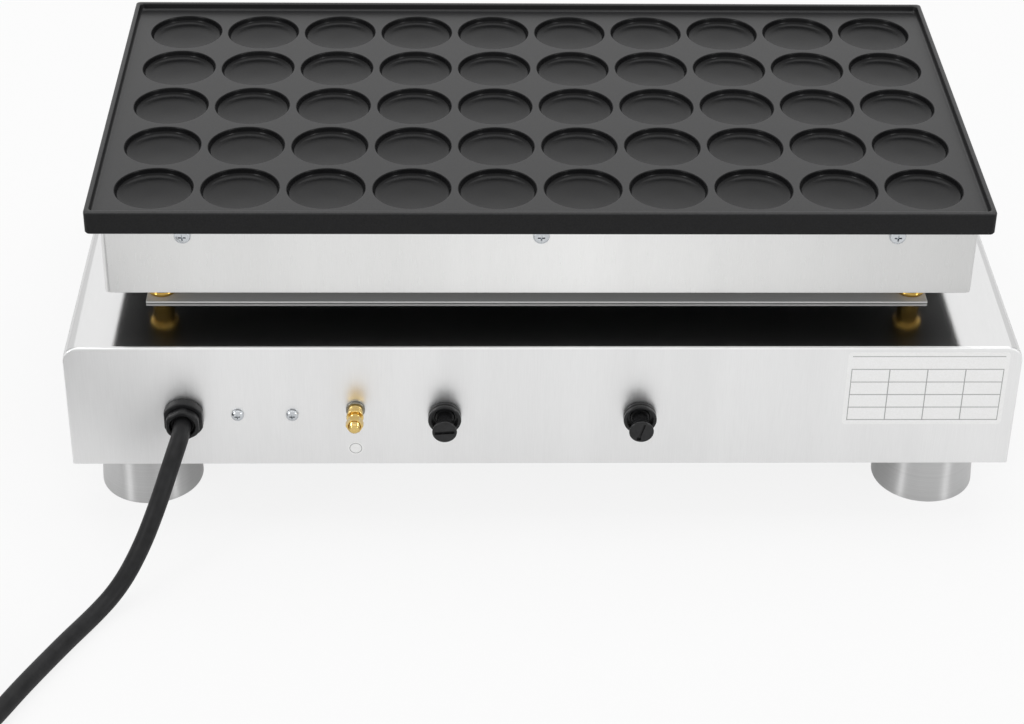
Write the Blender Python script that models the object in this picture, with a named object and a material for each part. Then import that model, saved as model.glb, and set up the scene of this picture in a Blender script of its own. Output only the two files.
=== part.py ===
"""Fifty-cup electric mini muffin maker: a cast baking plate on a sheet-steel base.

Every length is in metres. X runs across the machine, the connection side faces -Y, the
control side faces +Y, and Z = 0 is the worktop under the four feet.
"""
import math

import bmesh
import bpy
from mathutils import Matrix, Vector

for old in list(bpy.data.objects):
    bpy.data.objects.remove(old, do_unlink=True)

# Whole machine
body_side_step = 0.017975
body_depth = 0.338
body_height = 0.079
foot_height = 0.040
sheet = 0.0012
fit_gap = 0.0003
overrun = 0.001
corner_radius = 0.0085
corner_steps = 4
round_sides = 20
medium_sides = 14
small_sides = 10

# How far the longest pieces stand out of the rear and front panels
earth_reach = 0.020
knob_reach = 0.022

# Baking plate
cup_columns = 10
cup_rows = 5
cup_pitch = 0.04725
cup_diameter = 0.0433
cup_depth = 0.0056
cup_wall_depth = 0.0032
cup_wall_draft = 0.0008
cup_floor_radius_share = 0.88
cup_floor_depth_share = 0.80
cup_sides = 16
plate_side_margin = 0.01275
plate_end_margin = 0.01165
plate_height = 0.014
plate_corner = 0.0025
plate_inner_corner = 0.0015
plate_edge_round = 0.0012
rim_height = 0.0043
rim_thickness = 0.0028
rim_draft = 0.0006
plate_rear_margin = 0.01815
plate_offset = -0.0025

# Heater housing under the plate
housing_height = 0.042
housing_inset = 0.007
housing_corner = 0.003
housing_hem = 0.008
lug_width = 0.014
lug_depth = 0.009
lug_height = 0.009
housing_screw_drop = 0.0045
housing_screw_inset = 0.0448
housing_screw_radius = 0.002
housing_screw_length = 0.008
housing_screw_head_radius = 0.0046
housing_screw_head_height = 0.0026
cross_width = 0.0011
cross_depth = 0.0012

# Heating elements, their clamp bars and the sensing bulb
element_diameter = 0.0065
element_end_inset = 0.0363
element_outer_run = 0.088
element_inner_run = 0.036
element_turn_steps = 8
element_drop = 0.020
element_drop_radius = 0.012
element_drop_steps = 4
clamp_spread_share = 0.45
clamp_width = 0.014
clamp_thickness = 0.002
clamp_end_inset = 0.0235
clamp_boss_radius = 0.006
clamp_screw_radius = 0.002
clamp_screw_length = 0.010
clamp_screw_head_radius = 0.004
clamp_screw_head_height = 0.0026
bulb_length = 0.090
bulb_offset = 0.014
capillary_diameter = 0.002
capillary_hole_radius = 0.003
capillary_step = 0.012
mat_thickness = 0.008
mat_margin = 0.012

# Brass standoffs and the shield plate that they stand on
standoff_height = 0.020
standoff_side_inset = 0.0273
standoff_end_inset = 0.0309
standoff_radius = 0.0062
standoff_collar_radius = 0.0083
standoff_collar_height = 0.0032
standoff_collar_round = 0.0012
stud_radius = 0.003
stud_length = 0.008
standoff_nut_flats = 0.010
standoff_nut_height = 0.005

# Base panels
flange_depth = 0.010
cover_upstand = 0.012
vent_count = 6
vent_pitch = 0.018
vent_length = 0.046
vent_width = 0.004
vent_spread_share = 0.18

# Feet
foot_side_inset = 0.038
foot_end_inset = 0.044
foot_radius = 0.0293
foot_waist_radius = 0.0284
foot_waist_height = 0.019
foot_shoulder_radius = 0.0085
foot_shoulder_steps = 3
foot_neck_radius = 0.0125
foot_neck_height = 0.004
foot_edge = 0.0008
foot_recess_radius = 0.025
foot_recess_depth = 0.003
foot_stud_radius = 0.004
foot_stud_length = 0.012

# Rear panel fittings, measured from the panel's left and lower edges
fitting_height = 0.0338
gland_inset = 0.0645
terminal_inset = 0.1095
terminal_screw_pitch = 0.0304
terminal_rise = 0.0006
earth_inset = 0.160
earth_rise = 0.0043
fuse_spread_share = 0.103
fuse_offset = -0.0007

# Cable gland
gland_hex_radius = 0.0118
gland_hex_length = 0.0055
gland_neck_radius = 0.0074
gland_neck_length = 0.0075
gland_thread_radius = 0.0079
gland_thread_length = 0.012
gland_nut_radius = 0.0109
gland_nut_length = 0.0050
gland_nut_round = 0.0012
gland_nut_flute_count = 8
gland_nut_flute_radius = 0.0011
locknut_radius = 0.0125
locknut_length = 0.0045

# Terminal block and its two screws
terminal_length = 0.042
terminal_depth = 0.018
terminal_height = 0.016
terminal_ways = 3
terminal_way_radius = 0.0030
terminal_way_pitch = 0.0085
terminal_way_depth = 0.009
small_screw_radius = 0.0017
small_screw_length = 0.009
small_screw_head_radius = 0.0035
small_screw_head_height = 0.0022

# Earth terminal
earth_washer_radius = 0.0053
earth_washer_height = 0.0018
earth_sleeve_radius = 0.0043
earth_sleeve_height = 0.0070
earth_collar_radius = 0.0048
earth_collar_height = 0.0085
earth_stud_radius = 0.0030
earth_tail = 0.014
earth_nut_flats = 0.0085
earth_nut_height = 0.0045
earth_nut_setback = 0.0035
earth_tip_round = 0.0009

# Fuse holders
bezel_radius = 0.0093
bezel_height = 0.0055
bezel_groove = 0.0006
bezel_groove_height = 0.0008
bezel_mouth_radius = 0.0074
bezel_mouth_depth = 0.0035
holder_bore_radius = 0.0058
holder_radius = 0.0076
holder_length = 0.036
holder_wall = 0.002
holder_nut_radius = 0.0108
holder_nut_height = 0.0035
fuse_cap_radius = 0.0069
fuse_cap_reach = 0.0165
fuse_cap_face = 0.0022
fuse_cap_neck_radius = 0.0044
fuse_cap_neck_steps = 3
fuse_cap_neck_start = 0.0060
fuse_plug_radius = 0.0054
fuse_plug_depth = 0.006
fuse_slot_length = 0.011
fuse_slot_width = 0.0014
fuse_slot_depth = 0.0012
fuse_link_radius = 0.0026
fuse_link_length = 0.020
fuse_link_cap_length = 0.005
fuse_link_waist = 0.0003

# Controls on the front panel
control_height = 0.040
control_spread_share = 0.236
lamp_spread = 0.030
knob_radius = 0.0200
knob_skirt_height = 0.004
knob_grip_radius = 0.0155
knob_grip_taper = 0.0012
knob_flute_count = 8
knob_flute_radius = 0.0022
knob_pointer_width = 0.002
knob_pointer_depth = 0.0006
knob_standoff = 0.0008
knob_bore_depth = 0.014
shaft_radius = 0.003
shaft_flat = 0.0009
shaft_reach = 0.013
shaft_bush_radius = 0.0048
thermostat_width = 0.040
thermostat_depth = 0.030
thermostat_height = 0.036
timer_width = 0.048
timer_depth = 0.034
timer_height = 0.044
control_edge = 0.002
lamp_radius = 0.0065
lamp_reach = 0.007
lamp_flange = 0.0015
lamp_body_radius = 0.0050
lamp_body_length = 0.024
lamp_steps = 3

# Mains lead: route points chosen by hand, from the gland's axis, the rear panel and the worktop
cord_diameter = 0.010
cord_clearance = 0.0009
cord_point_step = 0.024
cord_route = [
    (0.0, -0.0079, 0.0738),
    (0.0, -0.0179, 0.0738),
    (-0.0042, -0.0350, 0.0663),
    (-0.0108, -0.0490, 0.0503),
    (-0.0198, -0.0605, 0.0303),
    (-0.0310, -0.0725, 0.0130),
    (-0.0428, -0.0870, 0.0056),
    (-0.0560, -0.1100, 0.0053),
    (-0.0735, -0.1435, 0.0053),
    (-0.0900, -0.1775, 0.0055),
    (-0.1100, -0.2040, 0.0057),
    (-0.1365, -0.2185, 0.0059),
]
coil_centre_offset = (-0.1635, -0.1600)
coil_outer_radius = 0.0610
coil_turns = 3.25
coil_points_per_turn = 24
coil_turn_pitch = 0.0109
coil_layer_height = 0.0108
coil_entry_turn_share = -0.25
coil_end_run = 0.041

# Plug and the tie round the coil
plug_relief_radius = 0.0078
plug_relief_length = 0.014
plug_neck_radius = 0.0100
plug_body_radius = 0.0158
plug_body_length = 0.024
plug_face_length = 0.008
plug_edge = 0.0015
plug_pin_radius = 0.0024
plug_pin_length = 0.019
plug_pin_spread = 0.0095
tie_width = 0.012
tie_thickness = 0.0006
tie_turn_share = 0.55

# Places worked out from the sizes above
plate_width = (cup_columns - 1) * cup_pitch + cup_diameter + 2 * plate_side_margin
plate_depth = (cup_rows - 1) * cup_pitch + cup_diameter + 2 * plate_end_margin
body_width = plate_width + 2 * body_side_step
floor_to_base = foot_height
base_top = floor_to_base + body_height
total_depth = earth_reach + body_depth + knob_reach
rear_face = -total_depth / 2 + earth_reach
front_face = rear_face + body_depth
fitting_z = floor_to_base + fitting_height
control_z = floor_to_base + control_height
gland_x = -body_width / 2 + gland_inset
terminal_x = -body_width / 2 + terminal_inset
terminal_z = fitting_z + terminal_rise
earth_x = -body_width / 2 + earth_inset
fuse_spread = body_width * fuse_spread_share
thermostat_x = body_width * control_spread_share
timer_x = -thermostat_x
vent_spread = body_width * vent_spread_share
coil_centre = (gland_x + coil_centre_offset[0], rear_face + coil_centre_offset[1])
plate_x = plate_offset
plate_y = rear_face + plate_rear_margin + plate_depth / 2
shield_bottom = base_top + fit_gap
shield_top = shield_bottom + sheet
housing_bottom_z = base_top + standoff_height
housing_top = housing_bottom_z + housing_height
plate_bottom = housing_top
plate_top = plate_bottom + plate_height
web_top = plate_top - rim_height
housing_width = plate_width - 2 * housing_inset
housing_depth = plate_depth - 2 * housing_inset
housing_screw_spread = housing_width / 2 - housing_screw_inset
standoff_spread = housing_width / 2 - standoff_side_inset
standoff_row = housing_depth / 2 - standoff_end_inset
element_half_length = housing_width / 2 - element_end_inset
clamp_spread = housing_width / 2 * clamp_spread_share
clamp_length = housing_depth - 2 * clamp_end_inset
cover_bottom = housing_bottom_z + sheet + fit_gap
cover_top = cover_bottom + sheet
element_z = plate_bottom - fit_gap - element_diameter / 2
clamp_top = element_z - element_diameter / 2 - fit_gap
panel_inner_rear = rear_face + sheet
panel_inner_front = front_face - sheet


# Materials

def make_material(name, colour, roughness, metallic):
    material = bpy.data.materials.new(name)
    material.use_nodes = True
    shader = material.node_tree.nodes["Principled BSDF"]
    shader.inputs["Base Color"].default_value = (*colour, 1.0)
    shader.inputs["Roughness"].default_value = roughness
    shader.inputs["Metallic"].default_value = metallic
    return material


brushed_steel = make_material("brushed_steel", (0.72, 0.72, 0.72), 0.32, 1.0)
polished_steel = make_material("polished_steel", (0.76, 0.76, 0.76), 0.14, 1.0)
zinc_steel = make_material("zinc_steel", (0.62, 0.62, 0.60), 0.35, 1.0)
dark_steel = make_material("dark_steel", (0.16, 0.16, 0.16), 0.45, 1.0)
nonstick = make_material("nonstick", (0.035, 0.035, 0.036), 0.34, 0.0)
brass = make_material("brass", (0.78, 0.57, 0.22), 0.24, 1.0)
black_nylon = make_material("black_nylon", (0.02, 0.02, 0.02), 0.42, 0.0)
black_rubber = make_material("black_rubber", (0.022, 0.022, 0.022), 0.55, 0.0)
bakelite = make_material("bakelite", (0.03, 0.028, 0.026), 0.3, 0.0)
ceramic_white = make_material("ceramic_white", (0.80, 0.79, 0.75), 0.5, 0.0)
fibre_mat = make_material("fibre_mat", (0.66, 0.65, 0.61), 0.95, 0.0)
element_steel = make_material("element_steel", (0.30, 0.29, 0.28), 0.4, 1.0)
copper = make_material("copper", (0.72, 0.40, 0.26), 0.3, 1.0)
glass = make_material("glass", (0.80, 0.84, 0.84), 0.1, 0.0)
red_lens = make_material("red_lens", (0.65, 0.03, 0.02), 0.15, 0.0)
green_lens = make_material("green_lens", (0.04, 0.45, 0.08), 0.15, 0.0)
knob_black = make_material("knob_black", (0.025, 0.025, 0.025), 0.3, 0.0)


# Shared ways of making a solid

def finish(name, bm, material, smooth_angle=None):
    """Turn a bmesh into a named object with its faces pointing out."""
    bmesh.ops.remove_doubles(bm, verts=bm.verts, dist=1e-6)
    bmesh.ops.recalc_face_normals(bm, faces=bm.faces)
    mesh = bpy.data.meshes.new(name)
    bm.to_mesh(mesh)
    bm.free()
    mesh.materials.append(material)
    if smooth_angle is not None:
        mesh.shade_smooth()
        mesh.set_sharp_from_angle(angle=math.radians(smooth_angle))
    obj = bpy.data.objects.new(name, mesh)
    bpy.context.scene.collection.objects.link(obj)
    return obj


def hide_tool(tool):
    tool.hide_render = True
    tool.display_type = "WIRE"


def combine(obj, tool, operation):
    modifier = obj.modifiers.new(f"{operation.lower()}_{tool.name}", "BOOLEAN")
    modifier.operation = operation
    modifier.solver = "EXACT"
    modifier.object = tool
    hide_tool(tool)


def rounded_outline(width, depth, radius, steps):
    """Corner points of a rectangle with round corners, anticlockwise from the right."""
    points = []
    for quarter, (sx, sy) in enumerate(((1, 1), (-1, 1), (-1, -1), (1, -1))):
        for step in range(steps + 1):
            angle = math.radians(90 * (quarter + step / steps))
            points.append((sx * (width / 2 - radius) + radius * math.cos(angle),
                           sy * (depth / 2 - radius) + radius * math.sin(angle)))
    return points


def bridge_loops(bm, loops):
    """Rows of faces between loops that have the same number of corners."""
    for first, second in zip(loops, loops[1:]):
        for a, b, c, d in zip(first, first[1:] + first[:1], second[1:] + second[:1], second):
            bm.faces.new((a, b, c, d))


def extruded(name, points, low, high, material, centre=(0.0, 0.0), smooth_angle=None):
    """A flat outline pulled up from one height to another."""
    bm = bmesh.new()
    face = bm.faces.new([bm.verts.new((x + centre[0], y + centre[1], low)) for x, y in points])
    top = bmesh.ops.extrude_face_region(bm, geom=[face])
    moved = [item for item in top["geom"] if isinstance(item, bmesh.types.BMVert)]
    bmesh.ops.translate(bm, vec=(0, 0, high - low), verts=moved)
    return finish(name, bm, material, smooth_angle)


def box(name, low, high, material):
    """A block between two opposite corners."""
    points = [(low[0], low[1]), (high[0], low[1]), (high[0], high[1]), (low[0], high[1])]
    return extruded(name, points, low[2], high[2], material)


def spin_profile(bm, profile, sides, place=Matrix.Identity(4), ring=False):
    """Spin a profile of (radius, height) points round Z; a ring's profile closes on itself."""
    verts = [bm.verts.new((radius, 0, height)) for radius, height in profile]
    pairs = list(zip(verts, verts[1:]))
    if ring:
        pairs.append((verts[-1], verts[0]))
    edges = [bm.edges.new(pair) for pair in pairs]
    before = set(bm.verts) - set(verts)
    bmesh.ops.spin(bm, geom=verts + edges, cent=(0, 0, 0), axis=(0, 0, 1),
                   angle=math.radians(360), steps=sides, use_merge=True)
    made = [vert for vert in bm.verts if vert not in before]
    bmesh.ops.remove_doubles(bm, verts=made, dist=1e-7)
    made = [vert for vert in bm.verts if vert not in before]
    bmesh.ops.transform(bm, matrix=place, verts=made)


def turned(name, profile, sides, material, ring=False, smooth_angle=35):
    bm = bmesh.new()
    spin_profile(bm, profile, sides, ring=ring)
    return finish(name, bm, material, smooth_angle)


def rod_profile(radius, low, high):
    return [(0, high), (radius, high), (radius, low), (0, low)]


def rod(name, radius, low, high, sides, material):
    return turned(name, rod_profile(radius, low, high), sides, material)


def rods(name, radius, low, high, sides, places):
    """Several parallel rods in one mesh, as a tool that drills a pattern of holes."""
    bm = bmesh.new()
    for place in places:
        spin_profile(bm, rod_profile(radius, low, high), sides, Matrix.Translation(place))
    return finish(name, bm, dark_steel)


def hex_nut(name, radius, low, high, bore, sides, material):
    """A hexagonal nut round Z with a round hole, and the tool that drills it."""
    nut = rod(name, radius, low, high, 6, material)
    drill = rod(f"{name}_bore_tool", bore, low - overrun, high + overrun, sides, material)
    combine(nut, drill, "DIFFERENCE")
    return nut, drill


def face_out(obj, x, z, rear):
    """Stand a piece on the rear or the front panel, its own +Z pointing out of the machine."""
    obj.location = (x, rear_face if rear else front_face, z)
    obj.rotation_euler = (math.radians(90 if rear else -90), 0, 0)
    return obj


def smooth_points(route, step):
    """Points at an even step along the smooth curve through a route's points."""
    knots = [Vector(point) for point in route]
    knots = [2 * knots[0] - knots[1]] + knots + [2 * knots[-1] - knots[-2]]
    dense = []
    samples = 24
    for a, b, c, d in zip(knots, knots[1:], knots[2:], knots[3:]):
        for sample in range(samples):
            t = sample / samples
            dense.append(0.5 * (2 * b + (c - a) * t + (2 * a - 5 * b + 4 * c - d) * t ** 2
                                + (3 * b - a - 3 * c + d) * t ** 3))
    dense.append(knots[-2])
    lengths = [0.0]
    for a, b in zip(dense, dense[1:]):
        lengths.append(lengths[-1] + (b - a).length)
    count = max(2, round(lengths[-1] / step))
    points, index = [], 0
    for number in range(count + 1):
        wanted = lengths[-1] * number / count
        while index < len(dense) - 2 and lengths[index + 1] < wanted:
            index += 1
        span = lengths[index + 1] - lengths[index]
        share = (wanted - lengths[index]) / span if span else 0.0
        points.append(dense[index].lerp(dense[index + 1], share))
    return points


def tube(name, points, diameter, resolution, material, radii=None):
    """A round tube with flat ends along a list of points."""
    curve = bpy.data.curves.new(name, "CURVE")
    curve.dimensions = "3D"
    curve.bevel_depth = diameter / 2
    curve.bevel_resolution = resolution
    curve.use_fill_caps = True
    curve.render_resolution_u = 0
    spline = curve.splines.new("POLY")
    spline.points.add(len(points) - 1)
    for number, point in enumerate(points):
        spline.points[number].co = (*point, 1.0)
        spline.points[number].radius = radii[number] if radii else 1.0
    spline.use_smooth = True
    curve.materials.append(material)
    obj = bpy.data.objects.new(name, curve)
    bpy.context.scene.collection.objects.link(obj)
    return obj


# Baking plate

def cup_profile():
    radius = cup_diameter / 2
    mouth = radius + cup_wall_draft * overrun / cup_wall_depth
    return [(0, overrun), (mouth, overrun), (radius - cup_wall_draft, -cup_wall_depth),
            (radius * cup_floor_radius_share, -cup_depth * cup_floor_depth_share), (0, -cup_depth)]


def housing_screw_places():
    for side in (-1, 1):
        for column in (-1, 0, 1):
            yield side, plate_x + column * housing_screw_spread


def make_baking_plate():
    low_step = (plate_edge_round, plate_bottom, plate_corner)
    mouth = (rim_thickness, plate_top, plate_inner_corner)
    foot = (rim_thickness + rim_draft, web_top, plate_inner_corner)
    bm = bmesh.new()
    loops = []
    for inset, height, radius in (low_step, (0, plate_bottom + plate_edge_round, plate_corner),
                                  (0, plate_top, plate_corner), mouth, foot):
        outline = rounded_outline(plate_width - 2 * inset, plate_depth - 2 * inset, radius, corner_steps - 2)
        loops.append([bm.verts.new((x + plate_x, y + plate_y, height)) for x, y in outline])
    bridge_loops(bm, loops)
    bm.faces.new(loops[0])
    bm.faces.new(loops[-1])
    plate = finish("baking_plate", bm, nonstick, 40)

    cups = bmesh.new()
    for column in range(cup_columns):
        for row in range(cup_rows):
            place = (plate_x + (column - (cup_columns - 1) / 2) * cup_pitch,
                     plate_y + (row - (cup_rows - 1) / 2) * cup_pitch, web_top)
            spin_profile(cups, cup_profile(), cup_sides, Matrix.Translation(place))
    combine(plate, finish("cup_tool", cups, nonstick), "DIFFERENCE")

    lugs = bmesh.new()
    lug_face = housing_depth / 2 - sheet - fit_gap
    for side, x in housing_screw_places():
        bmesh.ops.create_cube(lugs, size=1, matrix=Matrix.Translation(
            (x, plate_y + side * (lug_face - lug_depth / 2), plate_bottom - (lug_height - overrun) / 2))
            @ Matrix.Diagonal((lug_width, lug_depth, lug_height + overrun, 1)))
    combine(plate, finish("lug_tool", lugs, nonstick), "UNION")
    bosses = rods("boss_tool", clamp_boss_radius, clamp_top + fit_gap, plate_bottom + overrun, small_sides,
                  [(plate_x + side * clamp_spread, plate_y, 0) for side in (-1, 1)])
    combine(plate, bosses, "UNION")

    threads = bmesh.new()
    depth = housing_screw_length + overrun
    for side, x in housing_screw_places():
        turn = Matrix.Rotation(math.radians(-90 * side), 4, "X")
        place = Matrix.Translation((x, plate_y + side * housing_depth / 2, plate_bottom - housing_screw_drop))
        spin_profile(threads, rod_profile(housing_screw_radius + fit_gap, -depth, overrun), small_sides, place @ turn)
    combine(plate, finish("lug_thread_tool", threads, nonstick), "DIFFERENCE")
    drilled = rods("boss_thread_tool", clamp_screw_radius + fit_gap, clamp_top - overrun,
                   clamp_top - clamp_thickness + clamp_screw_length, small_sides,
                   [(plate_x + side * clamp_spread, plate_y, 0) for side in (-1, 1)])
    combine(plate, drilled, "DIFFERENCE")


# Heater housing, its bottom cover and what lies inside it

def make_heater_housing():
    bm = bmesh.new()
    outline = rounded_outline(housing_width, housing_depth, housing_corner, corner_steps - 2)
    base = bm.faces.new([bm.verts.new((x + plate_x, y + plate_y, housing_bottom_z)) for x, y in outline])
    rim = list(base.edges)
    bmesh.ops.inset_region(bm, faces=[base], thickness=housing_hem, use_even_offset=True)
    bmesh.ops.delete(bm, geom=[base], context="FACES_ONLY")
    walls = bmesh.ops.extrude_edge_only(bm, edges=rim)["geom"]
    bmesh.ops.translate(bm, vec=(0, 0, housing_height - fit_gap),
                        verts=[item for item in walls if isinstance(item, bmesh.types.BMVert)])
    housing = finish("heater_housing", bm, brushed_steel)
    middle = Vector((plate_x, plate_y, housing_bottom_z))
    outside = max(housing.data.polygons, key=lambda face: abs(face.center.y - plate_y))
    wall = housing.modifiers.new("sheet", "SOLIDIFY")
    wall.thickness = sheet
    wall.offset = -1 if outside.normal.dot(outside.center - middle) > 0 else 1
    wall.use_even_offset = True

    holes = bmesh.new()
    for side, x in housing_screw_places():
        turn = Matrix.Rotation(math.radians(-90 * side), 4, "X")
        place = Matrix.Translation((x, plate_y + side * housing_depth / 2, plate_bottom - housing_screw_drop))
        spin_profile(holes, rod_profile(housing_screw_radius + fit_gap, -sheet - overrun, overrun),
                     small_sides, place @ turn)
    combine(housing, finish("housing_hole_tool", holes, brushed_steel), "DIFFERENCE")


def cross_recess(name, head_radius, head_height):
    """The cross-shaped tool that cuts a screw's recess, drawn as one outline."""
    arm = head_radius * 0.6
    half = cross_width / 2
    outline = [(half, half), (half, arm), (-half, arm), (-half, half), (-arm, half), (-arm, -half),
               (-half, -half), (-half, -arm), (half, -arm), (half, -half), (arm, -half), (arm, half)]
    return extruded(name, outline, head_height - cross_depth, head_height + overrun, dark_steel)


def make_screw(name, radius, length, head_radius, head_height, material, location, rotation):
    profile = [(0, head_height), (head_radius * 0.62, head_height), (head_radius * 0.93, head_height * 0.6),
               (head_radius, 0), (radius, 0), (radius, -length), (0, -length)]
    screw = turned(name, profile, small_sides, material, smooth_angle=50)
    recess = cross_recess(f"{name}_recess_tool", head_radius, head_height)
    for piece in (screw, recess):
        piece.location = location
        piece.rotation_euler = rotation
    combine(screw, recess, "DIFFERENCE")


def make_housing_screws():
    labels = {-1: "left", 0: "middle", 1: "right"}
    for side, x in housing_screw_places():
        face = "rear" if side < 0 else "front"
        column = labels[round((x - plate_x) / housing_screw_spread)]
        place = (x, plate_y + side * (housing_depth / 2 + fit_gap), plate_bottom - housing_screw_drop)
        make_screw(f"housing_screw_{face}_{column}", housing_screw_radius, housing_screw_length,
                   housing_screw_head_radius, housing_screw_head_height, polished_steel, place,
                   (math.radians(-90 * side), 0, 0))


def standoff_places():
    return [(plate_x + sx * standoff_spread, plate_y + sy * standoff_row) for sy in (-1, 1) for sx in (-1, 1)]


def capillary_exit():
    return (plate_x + clamp_spread - bulb_length, plate_y + bulb_offset + bulb_offset)


def make_housing_bottom():
    outline = rounded_outline(housing_width - 2 * (sheet + fit_gap), housing_depth - 2 * (sheet + fit_gap),
                              housing_corner - sheet, corner_steps - 2)
    cover = extruded("housing_bottom", outline, cover_bottom, cover_top, dark_steel, (plate_x, plate_y))
    holes = rods("cover_hole_tool", stud_radius + fit_gap, cover_bottom - overrun, cover_top + overrun,
                 small_sides, [(x, y, 0) for x, y in standoff_places()])
    combine(cover, holes, "DIFFERENCE")
    entry = rod("cover_entry_tool", capillary_hole_radius, cover_bottom - overrun, cover_top + overrun,
                small_sides, dark_steel)
    entry.location = (*capillary_exit(), 0)
    combine(cover, entry, "DIFFERENCE")


def make_insulation_mat():
    reach_x = standoff_spread - standoff_collar_radius - mat_margin
    reach_y = housing_depth / 2 - mat_margin
    low = cover_top + fit_gap
    mat = box("insulation_mat", (plate_x - reach_x, plate_y - reach_y, low),
              (plate_x + reach_x, plate_y + reach_y, low + mat_thickness), fibre_mat)
    entry = rod("mat_entry_tool", capillary_hole_radius, low - overrun, low + mat_thickness + overrun,
                small_sides, fibre_mat)
    entry.location = (*capillary_exit(), 0)
    combine(mat, entry, "DIFFERENCE")


def element_route(side):
    """A hairpin under the plate whose two cold ends turn down at the left."""
    inner, outer = side * element_inner_run, side * element_outer_run
    turn_radius = abs(outer - inner) / 2
    far = element_half_length - turn_radius
    near = -element_half_length + element_drop_radius
    points = [(near - element_drop_radius, outer, element_z - element_drop)]
    for step in range(element_drop_steps + 1):
        angle = math.radians(90 * step / element_drop_steps)
        points.append((near - element_drop_radius * math.cos(angle), outer,
                       element_z - element_drop_radius + element_drop_radius * math.sin(angle)))
    for step in range(element_turn_steps + 1):
        angle = math.radians(90 - 180 * step / element_turn_steps)
        points.append((far + turn_radius * math.cos(angle),
                       (inner + outer) / 2 + (outer - inner) / 2 * math.sin(angle), element_z))
    for step in range(element_drop_steps, -1, -1):
        angle = math.radians(90 * step / element_drop_steps)
        points.append((near - element_drop_radius * math.cos(angle), inner,
                       element_z - element_drop_radius + element_drop_radius * math.sin(angle)))
    points.append((near - element_drop_radius, inner, element_z - element_drop))
    return [(x + plate_x, y + plate_y, z) for x, y, z in points]


def make_elements():
    for name, side in (("heating_element_rear", -1), ("heating_element_front", 1)):
        tube(name, element_route(side), element_diameter, 1, element_steel)


def make_clamps():
    for name, side in (("clamp_bar_left", -1), ("clamp_bar_right", 1)):
        x = plate_x + side * clamp_spread
        bar = box(name, (x - clamp_width / 2, plate_y - clamp_length / 2, clamp_top - clamp_thickness),
                  (x + clamp_width / 2, plate_y + clamp_length / 2, clamp_top), zinc_steel)
        hole = rod(f"{name}_hole_tool", clamp_screw_radius + fit_gap, clamp_top - clamp_thickness - overrun,
                   clamp_top + overrun, small_sides, zinc_steel)
        hole.location = (x, plate_y, 0)
        combine(bar, hole, "DIFFERENCE")
        make_screw(name.replace("bar", "screw"), clamp_screw_radius, clamp_screw_length - 2 * fit_gap,
                   clamp_screw_head_radius, clamp_screw_head_height, zinc_steel,
                   (x, plate_y, clamp_top - clamp_thickness - fit_gap), (math.radians(180), 0, 0))


def make_probe():
    """The sensing bulb under the plate and its thin tube down to the thermostat."""
    bulb_y = plate_y + bulb_offset
    start = plate_x + clamp_spread + bulb_length / 2
    exit_x, exit_y = capillary_exit()
    thermostat_back = front_face - sheet - fit_gap - thermostat_depth
    bulb_end = Vector((start - bulb_length, bulb_y, element_z))
    above = Vector((exit_x, exit_y, cover_top + mat_thickness + bulb_offset / 2))
    below = Vector((exit_x, exit_y, base_top - sheet - bulb_offset / 2))
    upper = [bulb_end, bulb_end - Vector((bulb_offset, 0, element_diameter / 2)),
             above + Vector((bulb_offset / 2, -bulb_offset / 4, bulb_offset / 4)), above]
    lower = [below, (exit_x, exit_y + bulb_offset, base_top - body_height / 3),
             ((exit_x + thermostat_x) / 2, (exit_y + thermostat_back) / 2, control_z + bulb_offset),
             (thermostat_x, thermostat_back - bulb_length / 3, control_z),
             (thermostat_x, thermostat_back - fit_gap, control_z)]
    points = [Vector((start, bulb_y, element_z))] + smooth_points(upper, capillary_step)
    points += smooth_points(lower, cord_point_step)
    share = capillary_diameter / element_diameter
    radii = [1.0, 1.0] + [share] * (len(points) - 2)
    tube("thermostat_probe", points, element_diameter, 1, copper, radii)


# Standoffs, their nuts and the shield plate

def make_standoffs():
    low = fit_gap
    high = cover_bottom - fit_gap - shield_top
    r, rr, h = standoff_collar_radius, standoff_collar_round, standoff_collar_height
    profile = [(0, high + stud_length), (stud_radius, high + stud_length), (stud_radius, high),
               (r - rr, high), (r, high - rr), (r, high - h), (standoff_radius, high - h - rr),
               (standoff_radius, low + h + rr), (r, low + h), (r, low + rr), (r - rr, low),
               (stud_radius, low), (stud_radius, low - stud_length - sheet), (0, low - stud_length - sheet)]
    first = None
    for number, (x, y) in enumerate(standoff_places(), start=1):
        if first is None:
            first = turned("standoff_1", profile, medium_sides, brass)
            post = first
        else:
            post = bpy.data.objects.new(f"standoff_{number}", first.data)
            bpy.context.scene.collection.objects.link(post)
        post.location = (x, y, shield_top)

    across = standoff_nut_flats / math.cos(math.radians(30)) / 2
    nut_top = base_top - sheet - fit_gap
    for number, (x, y) in enumerate(standoff_places(), start=1):
        for piece in hex_nut(f"standoff_nut_{number}", across, nut_top - standoff_nut_height, nut_top,
                             stud_radius + fit_gap, small_sides, brass):
            piece.location = (x, y, 0)


def make_heat_shield():
    half_x = standoff_spread + standoff_collar_radius
    half_y = standoff_row + standoff_collar_radius
    shield = box("heat_shield", (plate_x - half_x, plate_y - half_y, shield_bottom),
                 (plate_x + half_x, plate_y + half_y, shield_top), zinc_steel)
    studs = rods("shield_hole_tool", stud_radius + fit_gap, shield_bottom - overrun, shield_top + overrun,
                 small_sides, [(x, y, 0) for x, y in standoff_places()])
    combine(shield, studs, "DIFFERENCE")
    entry = rod("shield_entry_tool", capillary_hole_radius, shield_bottom - overrun, shield_top + overrun,
                small_sides, zinc_steel)
    entry.location = (*capillary_exit(), 0)
    combine(shield, entry, "DIFFERENCE")


# Base: wrap, end panels and bottom cover

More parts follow.
